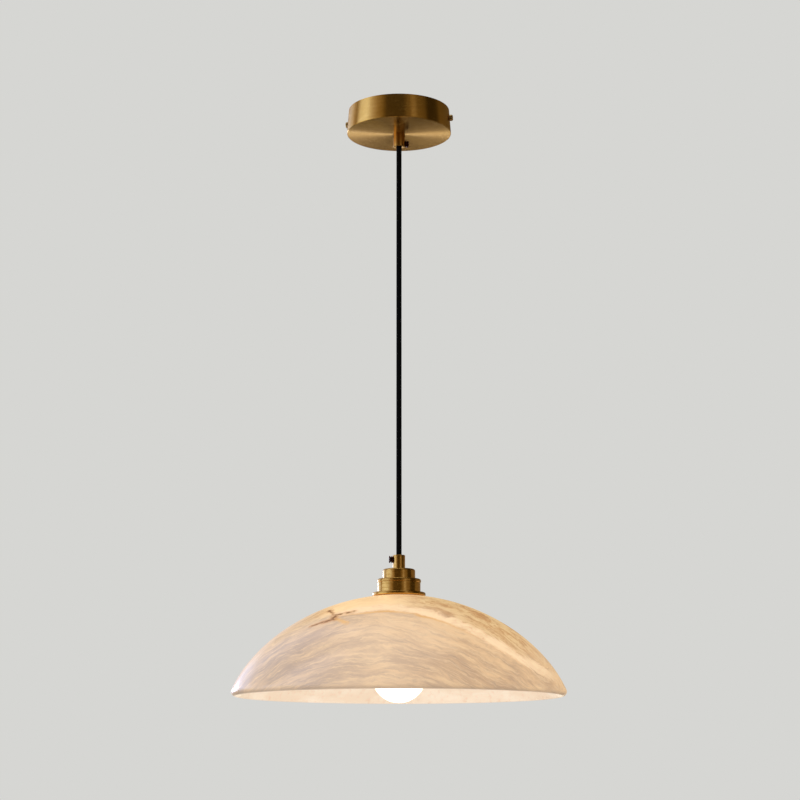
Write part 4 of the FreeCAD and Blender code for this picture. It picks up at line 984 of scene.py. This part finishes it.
@dataclass
class StoneBowl:
    """The alabaster bowl, mouth down, in millimetres above its rim: a flat seat and three tangent arcs."""

    level: float = -670.7
    height: float = 108.6
    wall: float = 8.0
    hole: float = 20.6
    seat: float = 29.3
    crown: float = 221.2
    crown_angle: float = 34.6
    shoulder: float = 185.2
    shoulder_angle: float = 50.0
    side: float = 133.7
    outer_round: float = 5.0
    inner_round: float = 1.5

    def centres(self) -> tuple[Spot, Spot, Spot]:
        """The centres of the crown, shoulder and side arcs."""
        one, two = math.radians(self.crown_angle), math.radians(self.shoulder_angle)
        crown = (0.0, self.height - math.sqrt(self.crown**2 - self.seat**2))
        step = self.crown - self.shoulder
        shoulder = (step * math.sin(one), crown[1] + step * math.cos(one))
        step = self.shoulder - self.side
        side = (shoulder[0] + step * math.sin(two), shoulder[1] + step * math.cos(two))
        return crown, shoulder, side

    def rim_round(self, radius: float, reach: float) -> tuple[Spot, float]:
        """Where a round between the rim's flat and a side arc has its centre.

        Args:
            radius: Radius of the round.
            reach: Distance of its centre from the side arc's centre.

        Returns:
            The centre's distance from the axis and height, and its angle seen from the side arc's centre.
        """
        side = self.centres()[2]
        across = side[0] + math.sqrt(reach**2 - (radius - side[1]) ** 2)
        return (across, radius), math.degrees(math.atan2(radius - side[1], across - side[0]))

    def outline(self) -> Outline:
        """The whole half outline: over the outside, round the rim and back along the inside."""
        crown, shoulder, side = self.centres()
        one, two = 90 - self.crown_angle, 90 - self.shoulder_angle
        wall, ceiling = self.wall, self.height - self.wall
        start = math.degrees(math.acos(self.seat / self.crown))
        end = math.degrees(math.asin((ceiling - crown[1]) / (self.crown - wall)))
        outer, out_angle = self.rim_round(self.outer_round, self.side - self.outer_round)
        inner, in_angle = self.rim_round(self.inner_round, self.side - wall + self.inner_round)
        runs = ((crown, self.crown, start, one, 24), (shoulder, self.shoulder, one, two, 14),
                (side, self.side, two, out_angle, 16), (outer, self.outer_round, out_angle, -90, 12),
                (inner, self.inner_round, -90, in_angle - 180, 6), (side, self.side - wall, in_angle, two, 16),
                (shoulder, self.shoulder - wall, two, one, 14), (crown, self.crown - wall, one, end, 22))
        return follow([(self.hole, self.height)], *[sweep(*run) for run in runs], [(self.hole, ceiling)])

    def on_outside(self, azimuth: float, height: float) -> Point:
        """A point on the outer face.

        Args:
            azimuth: Its direction from the axis, in degrees.
            height: Its height above the rim, in millimetres.

        Returns:
            The point in the row frame, in metres.
        """
        crown, shoulder, side = self.centres()
        arcs = ((crown, self.crown, 90 - self.crown_angle), (shoulder, self.shoulder, 90 - self.shoulder_angle),
                (side, self.side, -90.0))
        for centre, radius, lowest in arcs:
            rise = (height - centre[1]) / radius
            if rise <= 1 and math.degrees(math.asin(rise)) >= lowest:
                break
        across = centre[0] + math.sqrt(radius**2 - (height - centre[1]) ** 2)
        angle = math.radians(azimuth)
        return (across * math.cos(angle) * MM, across * math.sin(angle) * MM, (height + self.level) * MM)

    def veins(self) -> dict[str, list[Vein]]:
        """The runs of the brown crack and the amber streak near the crown, with their half widths in metres."""
        spot, dot, fork, tip = (-128.0, 88.2), (-124.5, 86.4), (-115.1, 80.6), (-105.0, 84.2)
        bend, middle, foot = (-113.4, 75.7), (-118.0, 73.0), (-123.6, 69.4)
        brown = [(spot, dot, 0.0062), (dot, fork, 0.0034), (fork, tip, 0.0062), (fork, bend, 0.0086),
                 (bend, middle, 0.0070), (middle, foot, 0.0050)]
        kinds = {"brown": brown, "amber": [((-112.0, 76.5), (-102.8, 70.0), 0.0045)]}
        return {kind: [(self.on_outside(*start), self.on_outside(*end), width) for start, end, width in runs]
                for kind, runs in kinds.items()}

    def mark_inside(self, bowl: Piece, middle: float = 60.0, softness: float = 2.5) -> None:
        """Writes on each vertex how far it faces a spot that far below the rim, and so into the bowl."""
        centre = Vector((0, 0, (self.level - middle) * MM))
        mask = bowl.data.attributes.new("inside_face", "FLOAT", "POINT")
        for vertex, entry in zip(bowl.data.vertices, mask.data):
            facing = vertex.normal.dot((vertex.co - centre).normalized())
            entry.value = min(max(0.5 - facing * softness, 0.0), 1.0)

    def assemble(self) -> list[Piece]:
        """Builds, dresses and hangs the bowl."""
        bowl = turn_piece("alabaster_bowl_turned", self.outline(), self.level, steps=256, crease=40)
        self.mark_inside(bowl)
        stone = Alabaster(rim_level=self.level * MM, veins=self.veins()).material()
        return [finish(bowl, stone, Body.LAMP, "alabaster_bowl")]


@dataclass
class GlobeBulb:
    """The round opal bulb's glass, in millimetres above its lowest point."""

    radius: float = 30.0
    turn_angle: float = 40.0
    neck: float = 12.7
    neck_length: float = 4.5
    wall: float = 0.8

    def assemble(self) -> list[Piece]:
        """Builds, dresses and hangs the glass."""
        low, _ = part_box("bulb_glass")
        angle, turn, wall = self.turn_angle, math.radians(self.turn_angle), self.wall
        hollow = (self.radius * math.cos(turn) - self.neck) / (1 - math.cos(turn))
        reach = self.radius + hollow
        globe, waist = (0.0, self.radius), (reach * math.cos(turn), self.radius + reach * math.sin(turn))
        top = waist[1] + self.neck_length
        outline = follow(sweep(globe, self.radius, -90, angle, 40), sweep(waist, hollow, 180 + angle, 180, 12),
                         [(self.neck, top), (self.neck - wall, top)],
                         sweep(waist, hollow + wall, 180, 180 + angle, 12),
                         sweep(globe, self.radius - wall, angle, -90, 40))
        glass = turn_piece("bulb_glass_blown", outline, low.z / MM, closed=False, steps=96, crease=50)
        return [finish(glass, LitGlass().material(), Body.BULB, "bulb_glass")]


class InnerWorks:
    """The CAD nodes that stay, by their finishes: bracket, wiring, lampholder, gaskets and bulb cap."""

    NODES = {
        "bracket": ["ceiling_bracket"],
        "zinc": ["canopy_washer", "canopy_nut", "cap_nut", "collar_nut", "block_screw", "terminal_screws",
                 "holder_terminal_screws", "clamp_ring"],
        "zinc_thread": ["canopy_tube", "lamp_tube"],
        "plain_brass": ["terminal_clamps", "earth_screw", "earth_tag", "holder_terminals", "centre_contact"],
        "brass_thread": ["screw_shell"],
        "bulb_thread": ["bulb_cap"],
        "solder": ["bulb_contact"],
        "nylon": ["upper_grip_bush", "lower_grip_bush"],
        "white": ["terminal_block", "holder_dome", "holder_sleeve"],
        "brown": ["live_conductor", "holder_live_conductor"],
        "blue": ["neutral_conductor", "holder_neutral_conductor"],
        "porcelain": ["ceramic_insert"],
        "black_glass": ["bulb_insulator"],
        "cork": ["upper_gasket", "lower_gasket"],
    }

    def assemble(self, finishes: dict[str, Material]) -> list[Piece]:
        """Dresses each node in its finish."""
        pieces = []
        for name, nodes in self.NODES.items():
            for node in nodes:
                dress(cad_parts[node], finishes[name])
                pieces.append(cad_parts[node])
        return pieces


@dataclass
class Studio:
    """Camera, plain pale floor and background, soft lamps, and cards that only show in the metal's shine.

    Lengths are in metres. A bearing is in degrees to the right of the camera, seen from the pendant. Soft edges
    give the value where a part is dark and then where it is bright; four numbers add the shares at both.
    """

    distance: float = 2.108
    azimuth: float = 12.0
    height: float = -0.7676
    pitch: float = 11.44
    yaw: float = 0.0314
    focal_length: float = 86.22
    far_clip: float = 200.0
    floor_size: float = 90.0
    floor_level: float = -2.6
    floor_lift: float = 0.22
    ring_radius: float = 3.4
    ring_depth: float = 9.0
    ring_centre: float = 3.0
    ring_limit: float = 1.2
    low_boost: tuple[float, ...] = (0.1, 0.9, 2.5, 1.0)
    window_bearing: float = -150.0
    window_side: Spot = (5.5, 3.5)
    window_top: Spot = (0.13, 0.03)
    window_strength: float = 6.0
    card_radius: float = 3.3
    card_level: float = -0.93
    card_middle: tuple[float, ...] = (0.8, 1.7, 0.35, 1.0)
    strip_near: Spot = (2.42, 2.6)
    strip_far: Spot = (3.28, 3.1)
    strip_side: Spot = (152.0, 164.0)
    strip_strength: float = 0.95
    lamp_size: float = 1.6
    lamp_aim: float = -0.45
    ring_shades: Stops = (
        (-180, 0.12), (-160, 0.3), (-143, 0.85), (-122, 0.55), (-112, 0.2), (-104, 0.2), (-98, 1.1),
        (-76, 1.15), (-66, 0.5), (-50, 0.26), (-36, 0.14), (-28, 0.045), (10, 0.04), (18, 0.1), (25, 0.12),
        (30, 0.24), (35, 0.22), (42, 0.12), (58, 0.1), (66, 0.025), (92, 0.025), (100, 0.1), (140, 0.1),
        (160, 0.12), (180, 0.12))
    card_shades: Stops = (
        (-180, 0.07), (-140, 0.08), (-118, 0.3), (-106, 1.3), (-76, 1.3), (-66, 0.3), (-40, 0.1), (0, 0.06),
        (40, 0.08), (100, 0.14), (150, 0.09), (180, 0.07))

    def around(self, bearing: float, distance: float, level: float) -> Point:
        """The place at a bearing and distance from the pendant's axis, at a level."""
        angle = math.radians(self.azimuth + bearing)
        return (distance * math.sin(angle), -distance * math.cos(angle), level)

    def place_camera(self) -> None:
        """Puts the camera where the photograph was taken from."""
        lens = bpy.data.cameras.new("photograph_view")
        lens.lens = self.focal_length
        lens.sensor_width = 36.0
        lens.clip_end = self.far_clip
        camera = bpy.data.objects.new("photograph_view", lens)
        camera.location = self.around(0.0, self.distance, self.height)
        camera.rotation_euler = (math.radians(90 + self.pitch), 0, math.radians(self.azimuth - self.yaw))
        bpy.context.scene.collection.objects.link(camera)
        bpy.context.scene.camera = camera

    def spread_floor(self) -> None:
        """Lays the floor far below the lamp."""
        deselect()
        bpy.ops.mesh.primitive_plane_add(size=self.floor_size, location=(0, 0, self.floor_level))
        floor = bpy.context.active_object
        floor.name = "studio_floor"
        made, bench, shader = start_material("floor_paint")
        grain = bench.noise(bench.place(), 3.0, 3.0, 0.6)
        seen = bench.node("LightPath").outputs["Is Camera Ray"]
        bench.fill(shader, Base_Color=bench.blend(grain, (0.74, 0.74, 0.73, 1.0), (0.78, 0.78, 0.77, 1.0)),
                   Roughness=bench.rise(grain, 0.3, 0.7, 0.85, 0.95), Emission_Color=(1.0, 1.0, 0.98, 1.0),
                   Emission_Strength=bench.times(seen, self.floor_lift))
        dress(floor, made)

    def shades(self, bench: NodeBench, stops: Stops) -> tuple[Socket, Socket]:
        """The bearing of a place on a card, and its brightness there, from stops of bearing and brightness."""
        across, depth, _ = bench.split(bench.place())
        east, north = math.cos(math.radians(self.azimuth)), math.sin(math.radians(self.azimuth))
        side = bench.scaled(across, east, bench.times(depth, north))
        front = bench.scaled(across, north, bench.times(depth, -east))
        bearing = bench.times(bench.math("ARCTAN2", side, front), 180 / math.pi)
        places = tuple(((angle + 180) / 360, grey) for angle, grey in stops)
        return bearing, bench.ramp(bench.scaled(bearing, 1 / 360, 0.5), places)

    def stage_card(self, name: str, material: Material) -> None:
        """Names and dresses the new card, hides it from all but the shine, and puts it on the stage."""
        card = bpy.context.active_object
        card.name = name
        settle()
        for ray in ("camera", "diffuse", "shadow", "transmission", "volume_scatter"):
            setattr(card, "visible_" + ray, False)
        dress(card, material)

    def stand_ring(self) -> None:
        """Stands a ring of dark and bright cards round the lamp, with a low window behind it to the left."""
        deselect()
        bpy.ops.mesh.primitive_cylinder_add(vertices=96, radius=self.ring_radius, depth=self.ring_depth,
                                            end_fill_type="NOTHING", location=(0, 0, self.ring_centre))
        made, bench = blank_material("reflector_cards")
        up = bench.split(bench.place())[2]
        bearing, shade = self.shades(bench, self.ring_shades)
        window = bench.times(bench.rise(bench.apart(bearing, self.window_bearing), *self.window_side),
                             bench.rise(up, *self.window_top))
        shade = bench.math("MINIMUM", bench.times(shade, bench.rise(up, *self.low_boost)), self.ring_limit)
        shade = bench.scaled(window, self.window_strength, shade)
        colour = bench.blend(bench.rise(shade, 0.04, 1.1), (1.0, 0.7, 0.28, 1.0), (0.84, 0.97, 1.4, 1.0))
        bench.show(bench.fill(bench.node("Emission"), Color=colour, Strength=shade))
        self.stage_card("reflector_ring", made)

    def lay_card(self) -> None:
        """Lays a card under the lamp: dim along the view, bright to both sides, with a strip at the back."""
        deselect()
        bpy.ops.mesh.primitive_circle_add(vertices=96, radius=self.card_radius, fill_type="NGON",
                                          location=(0, 0, self.card_level))
        made, bench = blank_material("reflector_floor")
        bearing, shade = self.shades(bench, self.card_shades)
        away = bench.vector("LENGTH", bench.place())
        shade = bench.times(shade, bench.rise(away, *self.card_middle))
        strip = bench.times(bench.rise(away, *self.strip_near), bench.rise(away, *self.strip_far),
                            bench.rise(bench.math("ABSOLUTE", bearing), *self.strip_side))
        shade = bench.scaled(strip, self.strip_strength, shade)
        colour = bench.blend(bench.rise(shade, 0.1, 0.9), (1.0, 0.8, 0.5, 1.0), (1.0, 0.95, 0.8, 1.0))
        bench.show(bench.fill(bench.node("Emission"), Color=colour, Strength=shade))
        self.stage_card("reflector_card", made)

    def hang_lamp(self, name: str, place: Point, power: float, colour: Point) -> None:
        """Hangs one soft lamp at a place, with a power in watts, and points it at the pendant."""
        light = bpy.data.lights.new(name, "AREA")
        light.size, light.energy, light.color = self.lamp_size, power, colour
        lamp = bpy.data.objects.new(name, light)
        lamp.location = place
        aim = Vector((0, 0, self.lamp_aim)) - lamp.location
        lamp.rotation_euler = aim.to_track_quat("-Z", "Y").to_euler()
        lamp.visible_camera = lamp.visible_glossy = False
        bpy.context.scene.collection.objects.link(lamp)

    def light_room(self) -> None:
        """Sets the soft lamps, the even light of the room and the plain view transform."""
        self.hang_lamp("left_softbox", self.around(-70.0, 2.4, 0.3), 26.0, (1.0, 0.98, 0.96))
        self.hang_lamp("right_softbox", self.around(65.0, 2.6, 0.0), 14.0, (1.0, 0.97, 0.93))
        scene = bpy.context.scene
        scene.world = bpy.data.worlds.new("pale_room")
        scene.world.use_nodes = True
        scene.world.node_tree.nodes.clear()
        bench = NodeBench(scene.world.node_tree)
        path = bench.node("LightPath").outputs
        seen = bench.math("MAXIMUM", path["Is Camera Ray"], path["Is Glossy Ray"])
        seen = bench.math("MAXIMUM", seen, path["Is Transmission Ray"])
        colour = bench.blend(seen, (0.58, 0.58, 0.58, 1.0), tone(214, 214, 211))
        glow = bench.fill(bench.node("Background"), Color=colour)
        bench.feed(bench.node("OutputWorld").inputs["Surface"], glow.outputs[0])
        scene.view_settings.view_transform = "Standard"


def report(pieces: list[Piece]) -> None:
    """Logs each piece that was built or dressed."""
    for piece in pieces:
        LOG.info("dressed %s", piece.name)


def main() -> None:
    """Builds the studio and the pendant, piece by piece."""
    studio = Studio()
    studio.place_camera()
    report(Flex().assemble(BraidedFabric().material()))
    small = {name: made.material() for name, made in small_finishes().items()}
    brass = BrushedBrass().material()
    turned = BrushedBrass(name="turned_brass", roughness=0.19, anisotropy=0.6, fineness=800.0, relief=0.0000005,
                          deep=(0.5, 0.26, 0.05, 1.0)).material()
    report(Canopy().assemble(brass, small["polished_brass"]))
    upper = CordGrip("upper", Body.CANOPY, mouth=-43.6, mouth_up=False, screw_angle=32.0)
    lower = CordGrip("lower", Body.LAMP, mouth=-515.9, mouth_up=True, screw_angle=196.0)
    for grip in (upper, lower):
        report(grip.assemble(turned, small["bronzed"]))
    report(LampFittings().assemble(turned))
    report(StoneBowl().assemble())
    report(GlobeBulb().assemble())
    report(InnerWorks().assemble(small))
    studio.spread_floor()
    studio.stand_ring()
    studio.lay_card()
    studio.light_room()
    bpy.context.view_layer.update()
    deselect()


if __name__ == "__main__":
    main()
